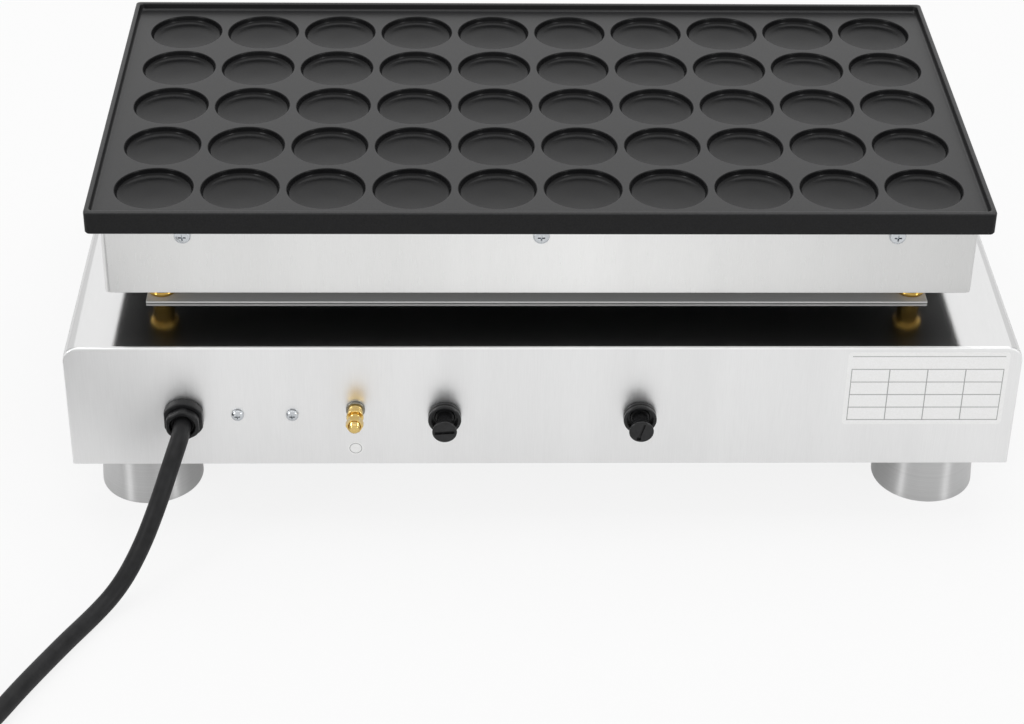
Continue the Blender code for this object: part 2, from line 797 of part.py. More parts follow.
def body_outline(inset=0.0):
    """The end view of the base: square below, round at the two top corners."""
    half = body_width / 2 - inset
    radius = corner_radius - inset
    low, high = floor_to_base + inset, base_top - inset
    points = [(half, low)]
    for step in range(corner_steps + 1):
        angle = math.radians(90 * step / corner_steps)
        points.append((half - radius + radius * math.cos(angle), high - radius + radius * math.sin(angle)))
    for step in range(corner_steps + 1):
        angle = math.radians(90 + 90 * step / corner_steps)
        points.append((-half + radius + radius * math.cos(angle), high - radius + radius * math.sin(angle)))
    points.append((-half, low))
    return points


def make_base_wrap():
    """One sheet bent down both sides, between the two end panels."""
    outer, inner = body_outline(), body_outline(sheet)
    inner[0] = (inner[0][0], floor_to_base)
    inner[-1] = (inner[-1][0], floor_to_base)
    bm = bmesh.new()
    start = rear_face + sheet + fit_gap
    length = body_depth - 2 * (sheet + fit_gap)
    loop = [bm.verts.new((x, start, z)) for x, z in outer + inner[::-1]]
    face = bm.faces.new(loop)
    pulled = bmesh.ops.extrude_face_region(bm, geom=[face])["geom"]
    bmesh.ops.translate(bm, vec=(0, length, 0),
                        verts=[item for item in pulled if isinstance(item, bmesh.types.BMVert)])
    wrap = finish("base_wrap", bm, brushed_steel, 30)
    studs = rods("wrap_hole_tool", stud_radius + fit_gap, base_top - sheet - overrun, base_top + overrun,
                 small_sides, [(x, y, 0) for x, y in standoff_places()])
    combine(wrap, studs, "DIFFERENCE")
    entry = rod("wrap_entry_tool", capillary_hole_radius, base_top - sheet - overrun, base_top + overrun,
                small_sides, brushed_steel)
    entry.location = (*capillary_exit(), 0)
    combine(wrap, entry, "DIFFERENCE")


def end_panel(name, face_y, inward):
    """A flat panel with a return flange that fits inside the wrap."""
    bm = bmesh.new()
    points = body_outline()
    front = bm.faces.new([bm.verts.new((x, face_y, z)) for x, z in points])
    pulled = bmesh.ops.extrude_face_region(bm, geom=[front])["geom"]
    bmesh.ops.translate(bm, vec=(0, inward * sheet, 0),
                        verts=[item for item in pulled if isinstance(item, bmesh.types.BMVert)])
    back = [item for item in pulled if isinstance(item, bmesh.types.BMFace)]
    bmesh.ops.recalc_face_normals(bm, faces=bm.faces)
    bmesh.ops.inset_region(bm, faces=back, thickness=sheet + fit_gap, use_even_offset=True)
    raised = bmesh.ops.extrude_face_region(bm, geom=back)["geom"]
    bmesh.ops.translate(bm, vec=(0, inward * flange_depth, 0),
                        verts=[item for item in raised if isinstance(item, bmesh.types.BMVert)])
    bmesh.ops.delete(bm, geom=back, context="FACES_ONLY")
    lip = [item for item in raised if isinstance(item, bmesh.types.BMFace)]
    bmesh.ops.recalc_face_normals(bm, faces=bm.faces)
    bmesh.ops.inset_region(bm, faces=lip, thickness=sheet, use_even_offset=True)
    sunk = bmesh.ops.extrude_face_region(bm, geom=lip)["geom"]
    bmesh.ops.translate(bm, vec=(0, -inward * flange_depth, 0),
                        verts=[item for item in sunk if isinstance(item, bmesh.types.BMVert)])
    bmesh.ops.delete(bm, geom=lip, context="FACES_ONLY")
    return finish(name, bm, brushed_steel, 25)


def panel_hole(panel, name, x, z, radius, rear):
    drill = rod(name, radius, -sheet - overrun, overrun, medium_sides, brushed_steel)
    face_out(drill, x, z, rear)
    combine(panel, drill, "DIFFERENCE")


def make_rear_panel():
    panel = end_panel("rear_panel", rear_face, 1)
    panel_hole(panel, "gland_hole_tool", gland_x, fitting_z, gland_thread_radius + fit_gap, True)
    for number, side in enumerate((-1, 1), start=1):
        panel_hole(panel, f"terminal_hole_tool_{number}", terminal_x + side * terminal_screw_pitch / 2, terminal_z,
                   small_screw_radius + fit_gap, True)
        panel_hole(panel, f"fuse_hole_tool_{number}", fuse_offset + side * fuse_spread, fitting_z, holder_radius + fit_gap, True)
    panel_hole(panel, "earth_hole_tool", earth_x, fitting_z + earth_rise, earth_stud_radius + fit_gap, True)


def make_front_panel():
    panel = end_panel("front_panel", front_face, -1)
    for number, x in enumerate((thermostat_x, timer_x), start=1):
        panel_hole(panel, f"shaft_hole_tool_{number}", x, control_z, shaft_bush_radius + fit_gap, False)
    for number, side in enumerate((-1, 1), start=1):
        panel_hole(panel, f"lamp_hole_tool_{number}", side * lamp_spread, control_z, lamp_body_radius + fit_gap, False)


def foot_places():
    near, far = rear_face + foot_end_inset, front_face - foot_end_inset
    half = body_width / 2 - foot_side_inset
    return [(-half, near), (half, near), (-half, far), (half, far)]


def make_base_bottom():
    half = body_width / 2 - sheet - fit_gap
    low = floor_to_base
    start = rear_face + sheet + fit_gap
    length = body_depth - 2 * (sheet + fit_gap)
    outline = [(half, low + cover_upstand), (half, low), (-half, low), (-half, low + cover_upstand),
               (-half + sheet, low + cover_upstand), (-half + sheet, low + sheet), (half - sheet, low + sheet),
               (half - sheet, low + cover_upstand)]
    bm = bmesh.new()
    face = bm.faces.new([bm.verts.new((x, start, z)) for x, z in outline])
    pulled = bmesh.ops.extrude_face_region(bm, geom=[face])["geom"]
    bmesh.ops.translate(bm, vec=(0, length, 0),
                        verts=[item for item in pulled if isinstance(item, bmesh.types.BMVert)])
    cover = finish("base_bottom", bm, brushed_steel)

    relief = flange_depth + 2 * fit_gap
    notches = bmesh.new()
    for side in (-1, 1):
        for end in (start, start + length):
            reach = relief if end == start else -relief
            low_corner = Vector((side * half - overrun - sheet, min(end, end + reach) - overrun / 2, low + sheet))
            high_corner = Vector((side * half + overrun + sheet, max(end, end + reach) + overrun / 2,
                                  low + cover_upstand + overrun))
            size = high_corner - low_corner
            bmesh.ops.create_cube(notches, size=1, matrix=Matrix.Translation((low_corner + high_corner) / 2)
                                  @ Matrix.Diagonal((*size, 1)))
    combine(cover, finish("cover_notch_tool", notches, brushed_steel), "DIFFERENCE")

    studs = rods("cover_stud_tool", foot_stud_radius + fit_gap, low - overrun, low + sheet + overrun,
                 small_sides, [(x, y, 0) for x, y in foot_places()])
    combine(cover, studs, "DIFFERENCE")

    slots = bmesh.new()
    for side in (-1, 1):
        for number in range(vent_count):
            x = side * vent_spread + (number - (vent_count - 1) / 2) * vent_pitch
            bmesh.ops.create_cube(slots, size=1, matrix=Matrix.Translation((x, 0, low + sheet / 2))
                                  @ Matrix.Diagonal((vent_width, vent_length, sheet + 2 * overrun, 1)))
    combine(cover, finish("vent_tool", slots, brushed_steel), "DIFFERENCE")


def make_feet():
    top = foot_height - fit_gap
    shoulder_top = top - foot_neck_height
    shoulder = [(foot_waist_radius - foot_shoulder_radius + foot_shoulder_radius * math.cos(math.radians(angle)),
                 shoulder_top - foot_shoulder_radius + foot_shoulder_radius * math.sin(math.radians(angle)))
                for angle in (90 - 90 * step / foot_shoulder_steps for step in range(foot_shoulder_steps + 1))]
    profile = ([(0, top + foot_stud_length), (foot_stud_radius, top + foot_stud_length), (foot_stud_radius, top),
                (foot_neck_radius, top), (foot_neck_radius, shoulder_top)] + shoulder
               + [(foot_waist_radius, foot_waist_height), (foot_radius, foot_edge), (foot_radius - foot_edge, 0),
                  (foot_recess_radius, 0), (foot_recess_radius, foot_recess_depth), (0, foot_recess_depth)])
    first = None
    for number, (x, y) in enumerate(foot_places(), start=1):
        if first is None:
            first = turned("foot_1", profile, round_sides, polished_steel)
            foot = first
        else:
            foot = bpy.data.objects.new(f"foot_{number}", first.data)
            bpy.context.scene.collection.objects.link(foot)
        foot.location = (x, y, 0)


# Rear panel fittings

def make_gland():
    hexagon = turned("gland_body", rod_profile(gland_hex_radius, fit_gap, gland_hex_length), 6, black_nylon,
                     smooth_angle=None)
    stem = turned("gland_stem_tool",
                  [(0, gland_neck_length), (gland_neck_radius, gland_neck_length),
                   (gland_neck_radius, gland_hex_length / 2), (gland_thread_radius, gland_hex_length / 2),
                   (gland_thread_radius, -gland_thread_length), (0, -gland_thread_length)],
                  round_sides, black_nylon)
    for piece in (hexagon, stem):
        face_out(piece, gland_x, fitting_z, True)
    combine(hexagon, stem, "UNION")

    low = gland_hex_length + fit_gap
    high = low + gland_nut_length
    bore = gland_neck_radius + fit_gap
    ring = [(gland_nut_radius - gland_nut_round, high), (gland_nut_radius, high - gland_nut_round),
            (gland_nut_radius, low), (bore, low), (bore, high)]
    nut = turned("gland_nut", ring, round_sides, black_nylon, ring=True)
    flutes = bmesh.new()
    for number in range(gland_nut_flute_count):
        angle = math.radians(360 * number / gland_nut_flute_count)
        place = Matrix.Translation(((gland_nut_radius + gland_nut_flute_radius / 2) * math.cos(angle),
                                    (gland_nut_radius + gland_nut_flute_radius / 2) * math.sin(angle), 0))
        spin_profile(flutes, rod_profile(gland_nut_flute_radius, low - overrun, high + overrun), 6, place)
    cutter = finish("gland_flute_tool", flutes, black_nylon)
    for piece in (nut, cutter):
        face_out(piece, gland_x, fitting_z, True)
    combine(nut, cutter, "DIFFERENCE")

    inside = -sheet - fit_gap
    for piece in hex_nut("gland_locknut", locknut_radius, inside - locknut_length, inside,
                         gland_thread_radius + fit_gap, medium_sides, black_nylon):
        face_out(piece, gland_x, fitting_z, True)


def make_terminal_block():
    back = rear_face + sheet + fit_gap
    block = box("terminal_block", (terminal_x - terminal_length / 2, back, terminal_z - terminal_height / 2),
                (terminal_x + terminal_length / 2, back + terminal_depth, terminal_z + terminal_height / 2),
                ceramic_white)
    bores = bmesh.new()
    for number in range(terminal_ways):
        x = terminal_x + (number - (terminal_ways - 1) / 2) * terminal_way_pitch
        place = Matrix.Translation((x, back + terminal_depth / 2, terminal_z + terminal_height / 2))
        spin_profile(bores, rod_profile(terminal_way_radius, -terminal_way_depth, overrun), small_sides, place)
    combine(block, finish("terminal_way_tool", bores, ceramic_white), "DIFFERENCE")
    for number, side in enumerate((-1, 1), start=1):
        x = terminal_x + side * terminal_screw_pitch / 2
        thread = rod(f"terminal_thread_tool_{number}", small_screw_radius + fit_gap, -small_screw_length - overrun,
                     overrun, small_sides, ceramic_white)
        face_out(thread, x, terminal_z, True)
        combine(block, thread, "DIFFERENCE")
        make_screw(f"terminal_screw_{number}", small_screw_radius, small_screw_length, small_screw_head_radius,
                   small_screw_head_height, polished_steel, (x, rear_face - fit_gap, terminal_z),
                   (math.radians(90), 0, 0))


def make_earth_terminal():
    tip = earth_reach
    nut_high = tip - earth_nut_setback
    nut_low = nut_high - earth_nut_height
    inside = -sheet - fit_gap
    profile = [(0, tip), (earth_stud_radius - earth_tip_round, tip), (earth_stud_radius, tip - earth_tip_round),
               (earth_stud_radius, earth_collar_height), (earth_collar_radius, earth_collar_height),
               (earth_collar_radius, earth_sleeve_height), (earth_sleeve_radius, earth_sleeve_height),
               (earth_sleeve_radius, earth_washer_height), (earth_washer_radius, earth_washer_height),
               (earth_washer_radius, fit_gap), (earth_stud_radius, fit_gap), (earth_stud_radius, inside - earth_tail),
               (0, inside - earth_tail)]
    stud = turned("earth_stud", profile, medium_sides, brass)
    face_out(stud, earth_x, fitting_z + earth_rise, True)
    across = earth_nut_flats / math.cos(math.radians(30)) / 2
    for piece in hex_nut("earth_nut", across, nut_low, nut_high, earth_stud_radius + fit_gap, small_sides, brass):
        face_out(piece, earth_x, fitting_z + earth_rise, True)
        piece.rotation_euler.rotate_axis("Z", math.radians(30))


def make_fuse(number, x, slot_turn):
    """A panel fuse holder, its ring nut, its screw-in cap and the fuse the cap draws out."""
    step = bezel_height / 2
    back = -holder_length
    seat = bezel_height - bezel_mouth_depth
    holder = turned(f"fuse_holder_{number}",
                    [(0, back + holder_wall), (holder_bore_radius, back + holder_wall), (holder_bore_radius, seat),
                     (bezel_mouth_radius, seat), (bezel_mouth_radius, bezel_height), (bezel_radius, bezel_height),
                     (bezel_radius, step + bezel_groove_height), (bezel_radius - bezel_groove, step),
                     (bezel_radius, step - bezel_groove_height), (bezel_radius, fit_gap), (holder_radius, fit_gap),
                     (holder_radius, back), (0, back)], medium_sides, black_nylon)
    inside = -sheet - fit_gap
    nut, drill = hex_nut(f"fuse_nut_{number}", holder_nut_radius, inside - holder_nut_height, inside,
                         holder_radius + fit_gap, medium_sides, black_nylon)

    plug_top = fuse_cap_neck_start
    flare = []
    for point in range(fuse_cap_neck_steps + 1):
        share = point / fuse_cap_neck_steps
        flare.append((fuse_cap_radius + (fuse_cap_neck_radius - fuse_cap_radius) * math.sin(math.radians(90 * share)),
                      fuse_cap_reach - fuse_cap_face
                      + (plug_top - fuse_cap_reach + fuse_cap_face) * share))
    cap = turned(f"fuse_cap_{number}",
                 [(0, fuse_cap_reach), (fuse_cap_radius - bezel_groove, fuse_cap_reach),
                  (fuse_cap_radius, fuse_cap_reach - bezel_groove)] + flare
                 + [(fuse_cap_neck_radius, plug_top - bezel_mouth_depth), (fuse_plug_radius, plug_top - bezel_mouth_depth),
                    (fuse_plug_radius, -fuse_plug_depth), (0, -fuse_plug_depth)],
                 medium_sides, black_nylon)
    slot = box(f"fuse_slot_tool_{number}", (-fuse_slot_length / 2, -fuse_slot_width / 2, fuse_cap_reach - fuse_slot_depth),
               (fuse_slot_length / 2, fuse_slot_width / 2, fuse_cap_reach + overrun), black_nylon)

    top = -fuse_plug_depth - fit_gap
    bottom = top - fuse_link_length
    thin = fuse_link_radius - fuse_link_waist
    link = turned(f"fuse_link_{number}",
                  [(0, top), (fuse_link_radius, top), (fuse_link_radius, top - fuse_link_cap_length),
                   (thin, top - fuse_link_cap_length), (thin, bottom + fuse_link_cap_length),
                   (fuse_link_radius, bottom + fuse_link_cap_length), (fuse_link_radius, bottom), (0, bottom)],
                  small_sides, glass)
    for piece in (holder, nut, drill, cap, slot, link):
        face_out(piece, x, fitting_z, True)
    slot.rotation_euler.rotate_axis("Z", math.radians(slot_turn))
    combine(cap, slot, "DIFFERENCE")


# Front panel controls

def make_knob(name, x):
    low = knob_standoff
    grip_low = low + knob_skirt_height
    knob = turned(name, [(0, knob_reach), (knob_grip_radius - 2 * knob_grip_taper, knob_reach),
                         (knob_grip_radius - knob_grip_taper, knob_reach - knob_grip_taper),
                         (knob_grip_radius, grip_low), (knob_radius, low + knob_grip_taper), (knob_radius, low), (0, low)],
                  2 * medium_sides, knob_black)
    flutes = bmesh.new()
    for number in range(knob_flute_count):
        angle = math.radians(360 * (number + 0.5) / knob_flute_count)
        place = Matrix.Translation(((knob_grip_radius + knob_flute_radius / 3) * math.cos(angle),
                                    (knob_grip_radius + knob_flute_radius / 3) * math.sin(angle), 0))
        spin_profile(flutes, rod_profile(knob_flute_radius, grip_low, knob_reach + overrun), 6, place)
    grip_tool = finish(f"{name}_flute_tool", flutes, knob_black)
    pointer = box(f"{name}_pointer_tool", (-knob_pointer_width / 2, -knob_grip_radius - overrun,
                                           knob_reach - knob_pointer_depth),
                  (knob_pointer_width / 2, -knob_grip_radius / 4, knob_reach + overrun), knob_black)
    bore = rod(f"{name}_bore_tool", shaft_radius + fit_gap, low - overrun, knob_bore_depth + low, medium_sides,
               knob_black)
    for piece in (knob, grip_tool, pointer, bore):
        face_out(piece, x, control_z, False)
    for tool in (grip_tool, pointer, bore):
        combine(knob, tool, "DIFFERENCE")


def make_control(name, x, width, depth, height):
    """A control body behind the front panel, with its bush and its flatted shaft."""
    back = -sheet - fit_gap
    body = extruded(name, rounded_outline(width, height, control_edge, 2), back - depth, back, bakelite)
    bush = turned(f"{name}_bush_tool",
                  [(0, shaft_reach), (shaft_radius, shaft_reach), (shaft_radius, knob_standoff - fit_gap),
                   (shaft_bush_radius, knob_standoff - fit_gap), (shaft_bush_radius, back - overrun),
                   (0, back - overrun)], medium_sides, zinc_steel)
    flat = box(f"{name}_flat_tool", (shaft_radius - shaft_flat, -shaft_radius, knob_standoff),
               (shaft_radius + overrun, shaft_radius, shaft_reach + overrun), zinc_steel)
    for piece in (body, bush, flat):
        face_out(piece, x, control_z, False)
    combine(body, bush, "UNION")
    combine(body, flat, "DIFFERENCE")


def make_lamp(name, x, material):
    dome = []
    for step in range(lamp_steps + 1):
        angle = math.radians(90 - 90 * step / lamp_steps)
        dome.append(((lamp_radius - lamp_flange) * math.cos(angle),
                     lamp_flange + (lamp_reach - lamp_flange) * math.sin(angle)))
    dome[0] = (0, lamp_reach)
    lamp = turned(name, dome + [(lamp_radius, lamp_flange), (lamp_radius, fit_gap), (lamp_body_radius, fit_gap),
                                (lamp_body_radius, -lamp_body_length), (0, -lamp_body_length)], medium_sides, material)
    face_out(lamp, x, control_z, False)


# Mains lead, plug and tie

def coil_points():
    """One unbroken spiral: in on the lower layer, up at the middle and out on the upper one."""
    low = cord_diameter / 2 + cord_clearance
    count = round(coil_turns * coil_points_per_turn)
    points = []
    for number in range(count + 1):
        turn = coil_turns * number / count
        from_middle = abs(turn - coil_turns / 2)
        radius = coil_outer_radius - coil_turn_pitch * (coil_turns / 2 - from_middle)
        climb = min(1.0, max(0.0, 2 * (turn - coil_turns / 2) + 0.5))
        height = low + coil_layer_height * climb * climb * (3 - 2 * climb)
        angle = 2 * math.pi * (coil_entry_turn_share - turn)
        points.append(Vector((coil_centre[0] + radius * math.cos(angle),
                              coil_centre[1] + radius * math.sin(angle), height)))
    start, end = points[0], points[-1]
    start_way = Vector((-math.sin(2 * math.pi * coil_entry_turn_share), math.cos(2 * math.pi * coil_entry_turn_share), 0))
    last_angle = 2 * math.pi * (coil_entry_turn_share - coil_turns)
    end_way = Vector((math.sin(last_angle), -math.cos(last_angle), 0))
    return [start + start_way * cord_diameter] + points + [end + end_way * coil_end_run]


def least_gap(points, diameter):
    """The smallest clear distance between parts of a tube that aren't neighbours on it."""
    fine = []
    for a, b in zip(points, points[1:]):
        fine += [a.lerp(b, share / 4) for share in range(4)]
    lengths = [0.0]
    for a, b in zip(fine, fine[1:]):
        lengths.append(lengths[-1] + (b - a).length)
    best = math.inf
    for i, a in enumerate(fine):
        for j in range(i + 1, len(fine)):
            if lengths[j] - lengths[i] > 3 * diameter:
                best = min(best, (fine[j] - a).length)
    return best - diameter


def make_cord():
    coil = coil_points()
    way = (coil[1] - coil[0]).normalized()
    route = [Vector((gland_x + x, rear_face + y, z)) for x, y, z in cord_route] + [coil[0] - way * cord_diameter]
    lead = [route[0]] + smooth_points(route[1:], cord_point_step) + [coil[0] - way * fit_gap]
    tube("cord_lead", lead, cord_diameter, 2, black_rubber)
    tube("cord_coil", coil, cord_diameter, 1, black_rubber)
    total = sum((b - a).length for run in (lead, coil) for a, b in zip(run, run[1:]))
    print("lead and coil length", round(total, 3), "least gap in the coil", round(least_gap(coil, cord_diameter), 5))


def make_plug():
    coil = coil_points()
    way = (coil[-1] - coil[-2]).normalized()
    start = fit_gap
    relief_end = start + plug_relief_length
    body_end = relief_end + plug_body_length
    face_end = body_end + plug_face_length
    body = turned("plug", [(0, face_end), (plug_body_radius - plug_edge, face_end), (plug_body_radius, face_end - plug_edge),
                           (plug_body_radius, body_end), (plug_body_radius - plug_edge, body_end - plug_edge),
                           (plug_body_radius - plug_edge, relief_end + plug_body_length / 2),
                           (plug_neck_radius, relief_end), (plug_relief_radius, start), (0, start)],
                  round_sides, black_rubber)
    pins = rods("plug_pin_tool", plug_pin_radius, face_end - plug_edge, face_end + plug_pin_length, small_sides,
                [(side * plug_pin_spread, 0, 0) for side in (-1, 1)])
    turn = Vector((0, 0, 1)).rotation_difference(way).to_matrix().to_4x4()
    for piece in (body, pins):
        piece.matrix_world = Matrix.Translation(coil[-1]) @ turn
    combine(body, pins, "UNION")


def make_tie():
    """A flat band round all the turns, across the coil at one place."""
    inner = coil_outer_radius - coil_turn_pitch * coil_turns / 2 - cord_diameter / 2 - fit_gap
    outer = coil_outer_radius + cord_diameter / 2 + fit_gap
    low = cord_clearance - fit_gap
    high = cord_clearance + cord_diameter + coil_layer_height + fit_gap
    radius = cord_diameter / 2
    bm = bmesh.new()
    loops = []
    for grow, end in ((0, -1), (0, 1), (tie_thickness, 1), (tie_thickness, -1)):
        outline = rounded_outline(outer - inner + 2 * grow, high - low + 2 * grow, radius + grow, corner_steps - 1)
        loops.append([bm.verts.new((x, end * tie_width / 2, z)) for x, z in outline])
    bridge_loops(bm, loops + loops[:1])
    tie = finish("cord_tie", bm, black_rubber)
    angle = 2 * math.pi * (coil_entry_turn_share + tie_turn_share)
    middle = (inner + outer) / 2
    tie.location = (coil_centre[0] + middle * math.cos(angle), coil_centre[1] + middle * math.sin(angle),
                    (low + high) / 2)
    tie.rotation_euler = (0, 0, angle)


make_baking_plate()
make_heater_housing()
make_housing_screws()
make_housing_bottom()
make_insulation_mat()
make_elements()
make_clamps()
make_probe()
make_standoffs()
make_heat_shield()
make_base_wrap()
make_rear_panel()
make_front_panel()
make_base_bottom()
make_feet()
make_gland()
make_terminal_block()
make_earth_terminal()
make_fuse(1, fuse_offset - fuse_spread, 4)
make_fuse(2, fuse_offset + fuse_spread, 73)
make_control("thermostat", thermostat_x, thermostat_width, thermostat_depth, thermostat_height)
make_knob("thermostat_knob", thermostat_x)
make_control("timer", timer_x, timer_width, timer_depth, timer_height)
make_knob("timer_knob", timer_x)
make_lamp("power_lamp", -lamp_spread, green_lens)
make_lamp("heating_lamp", lamp_spread, red_lens)
make_cord()
make_plug()
make_tie()
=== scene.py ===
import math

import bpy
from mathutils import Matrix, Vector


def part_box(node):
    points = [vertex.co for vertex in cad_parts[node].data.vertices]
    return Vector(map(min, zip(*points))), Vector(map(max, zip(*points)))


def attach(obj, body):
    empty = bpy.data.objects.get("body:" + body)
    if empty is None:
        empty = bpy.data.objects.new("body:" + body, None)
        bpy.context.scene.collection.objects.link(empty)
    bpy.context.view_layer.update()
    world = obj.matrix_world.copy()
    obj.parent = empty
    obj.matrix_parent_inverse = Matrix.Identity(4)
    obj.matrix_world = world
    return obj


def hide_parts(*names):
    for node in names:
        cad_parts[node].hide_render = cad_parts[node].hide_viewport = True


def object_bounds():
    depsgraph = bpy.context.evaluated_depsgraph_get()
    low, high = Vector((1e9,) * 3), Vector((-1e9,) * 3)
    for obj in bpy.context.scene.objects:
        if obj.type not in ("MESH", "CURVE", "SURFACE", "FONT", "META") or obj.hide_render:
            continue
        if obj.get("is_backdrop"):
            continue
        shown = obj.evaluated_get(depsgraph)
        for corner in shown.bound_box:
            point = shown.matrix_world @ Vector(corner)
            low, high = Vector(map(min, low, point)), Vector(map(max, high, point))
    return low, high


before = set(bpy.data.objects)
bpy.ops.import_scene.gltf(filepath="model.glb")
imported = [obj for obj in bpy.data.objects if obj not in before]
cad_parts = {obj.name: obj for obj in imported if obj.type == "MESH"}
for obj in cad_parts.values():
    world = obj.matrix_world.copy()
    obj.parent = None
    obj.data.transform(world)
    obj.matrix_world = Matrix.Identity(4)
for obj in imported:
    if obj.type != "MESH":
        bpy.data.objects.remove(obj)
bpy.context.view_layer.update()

# %% [markdown]
# A mini muffin maker, from its solids to a picture
# The frame above is the machine as plain solids, already at its real size in metres. This file gives
# it its looks. It keeps solids whose shape is right, puts finer pieces over the ones that a camera
# comes close to, and paints everything with procedural materials.

# %% [markdown]
# ## The camera
# The photograph looks down at the connection side from a little above, with a long lens. The rims of
# the cups, the corners of the plate, the housing and the base, and the two near feet were measured in
# the picture, and the camera's place, turn and lens were solved from them. The picture is cropped off
# its middle, which the shift repeats.

# %% Camera
bpy.ops.object.select_all(action="DESELECT")
bpy.ops.object.camera_add(
    location=(-0.04952, -1.24314, 0.85718),
    rotation=[math.radians(angle) for angle in (57.8664, -0.8083, -1.2054)])
camera = bpy.context.object
camera.name = "product_camera"
camera.data.sensor_width = 36
camera.data.lens = 83.311
camera.data.shift_x = -0.00309
camera.data.shift_y = -0.10938
bpy.context.scene.camera = camera
print("camera", round(camera.data.lens, 1), "mm")

# %% [markdown]
# ## Small helpers
# An operator works on everything that is selected, so each piece starts from an empty selection.
# `add_node` makes every node: its settings are the node's own properties, and its inputs are either a
# value or another node's output. The small functions after it are the steps that all the materials
# share. They find the node tree through the output that they are given.

# %% Helpers for objects
MM = 0.001


def mode(name):
    """Goes into or out of edit mode."""
    bpy.ops.object.mode_set(mode=name)


def start_fresh():
    """Leaves edit mode and deselects everything."""
    if bpy.context.object and bpy.context.object.mode != "OBJECT":
        mode("OBJECT")
    bpy.ops.object.select_all(action="DESELECT")


def only(*pieces):
    """Selects these pieces and nothing else, the first one active."""
    start_fresh()
    for piece in pieces:
        piece.select_set(True)
    bpy.context.view_layer.objects.active = pieces[0]


def freeze():
    """Puts the place, turn and size of what is selected into its mesh."""
    bpy.ops.object.transform_apply(location=True, rotation=True, scale=True)


def modify(piece, kind, **settings):
    """Gives a piece a modifier with these settings and applies it."""
    only(piece)
    modifier = piece.modifiers.new(kind.lower(), kind)
    for name, value in settings.items():
        setattr(modifier, name, value)
    bpy.ops.object.modifier_apply(modifier=modifier.name)


def paint(piece, material, other=None, test=None):
    """Gives a piece or a solid one material, and the faces that pass the test another one."""
    piece.data.materials.clear()
    piece.data.materials.append(material)
    if other:
        piece.data.materials.append(other)
        for face in piece.data.polygons:
            face.material_index = int(test(face.center))


# %% Helpers for materials
WHITE = (1, 1, 1, 1)


def linear(code):
    """An sRGB hex colour as the linear values that a shader needs."""
    parts = [int(code[i:i + 2], 16) / 255 for i in (1, 3, 5)]
    return (*[p / 12.92 if p <= 0.04045 else ((p + 0.055) / 1.055) ** 2.4 for p in parts], 1.0)


def add_node(tree, kind, inputs=None, ramp=None, **settings):
    """Adds one node with its settings, its inputs' values or links, and its ramp's stops."""
    node = tree.nodes.new(kind)
    for name, value in settings.items():
        setattr(node, name, value)
    for socket, value in (inputs or {}).items():
        if isinstance(value, bpy.types.NodeSocket):
            tree.links.new(value, node.inputs[socket])
        else:
            node.inputs[socket].default_value = value
    if ramp:
        stops = node.color_ramp.elements
        while len(stops) < len(ramp):
            stops.new(0.5)
        for stop, (place, colour) in zip(stops, ramp):
            stop.position = place
            stop.color = linear(colour) if isinstance(colour, str) else (colour, colour, colour, 1.0)
    return node


def maths(operation, *values):
    """The result of one sum, on outputs or numbers, of which the first is an output."""
    inputs = dict(enumerate(values))
    return add_node(values[0].id_data, "ShaderNodeMath", inputs, operation=operation).outputs[0]


def noise(vector, size, detail=2.0):
    """Noise of about that size, as a grey value."""
    inputs = {"Vector": vector, "Scale": 1 / size, "Detail": detail}
    return add_node(vector.id_data, "ShaderNodeTexNoise", inputs).outputs["Fac"]


def stretched(place, axis, along, across):
    """The place scaled by `along` on one axis and by `across` on the others."""
    scale = [across] * 3
    scale["XYZ".index(axis)] = along
    return add_node(place.id_data, "ShaderNodeMapping", {"Vector": place, "Scale": scale}).outputs[0]


def shades(value, *stops):
    """The value as a colour between these stops."""
    return add_node(value.id_data, "ShaderNodeValToRGB", {"Fac": value}, ramp=stops).outputs["Color"]


def bumped(height, strength, distance=0.1 * MM, **more):
    """The normal of a surface that this height raises."""
    inputs = {"Height": height, "Strength": strength, "Distance": distance, **more}
    return add_node(height.id_data, "ShaderNodeBump", inputs).outputs["Normal"]


def spread(value, low, high, from_low=0.3, from_high=0.7):
    """The value spread from one range over another."""
    inputs = {"Value": value, "From Min": from_low, "From Max": from_high, "To Min": low, "To Max": high}
    return add_node(value.id_data, "ShaderNodeMapRange", inputs).outputs[0]


def new_material(name, **values):
    """A material with one Principled shader, and the place on the piece that its patterns read."""
    material = bpy.data.materials.new(name)
    material.use_nodes = True
    tree = material.node_tree
    for socket, value in values.items():
        socket = socket.replace("_", " ").title().replace("Ior", "IOR")
        tree.nodes["Principled BSDF"].inputs[socket].default_value = value
    return material, add_node(tree, "ShaderNodeTexCoord").outputs["Object"]


def finish(material, colour=None, normal=None, roughness=None, tangent=None):
    """Links the patterns to the material's shader."""
    shader = material.node_tree.nodes["Principled BSDF"]
    ends = {"Base Color": colour, "Normal": normal, "Roughness": roughness, "Tangent": tangent}
    for socket, source in ends.items():
        if source is not None:
            material.node_tree.links.new(source, shader.inputs[socket])
    return material


# %% [markdown]
# ## Floor, background and light
# The photograph is a product cut-out on white, lit by large soft boxes. A pale floor carries the
# machine's shadow. Part of its white is drawn only for the camera and for mirrors and glass, so that
# it needs no extra light on the object. The world is built the same way.

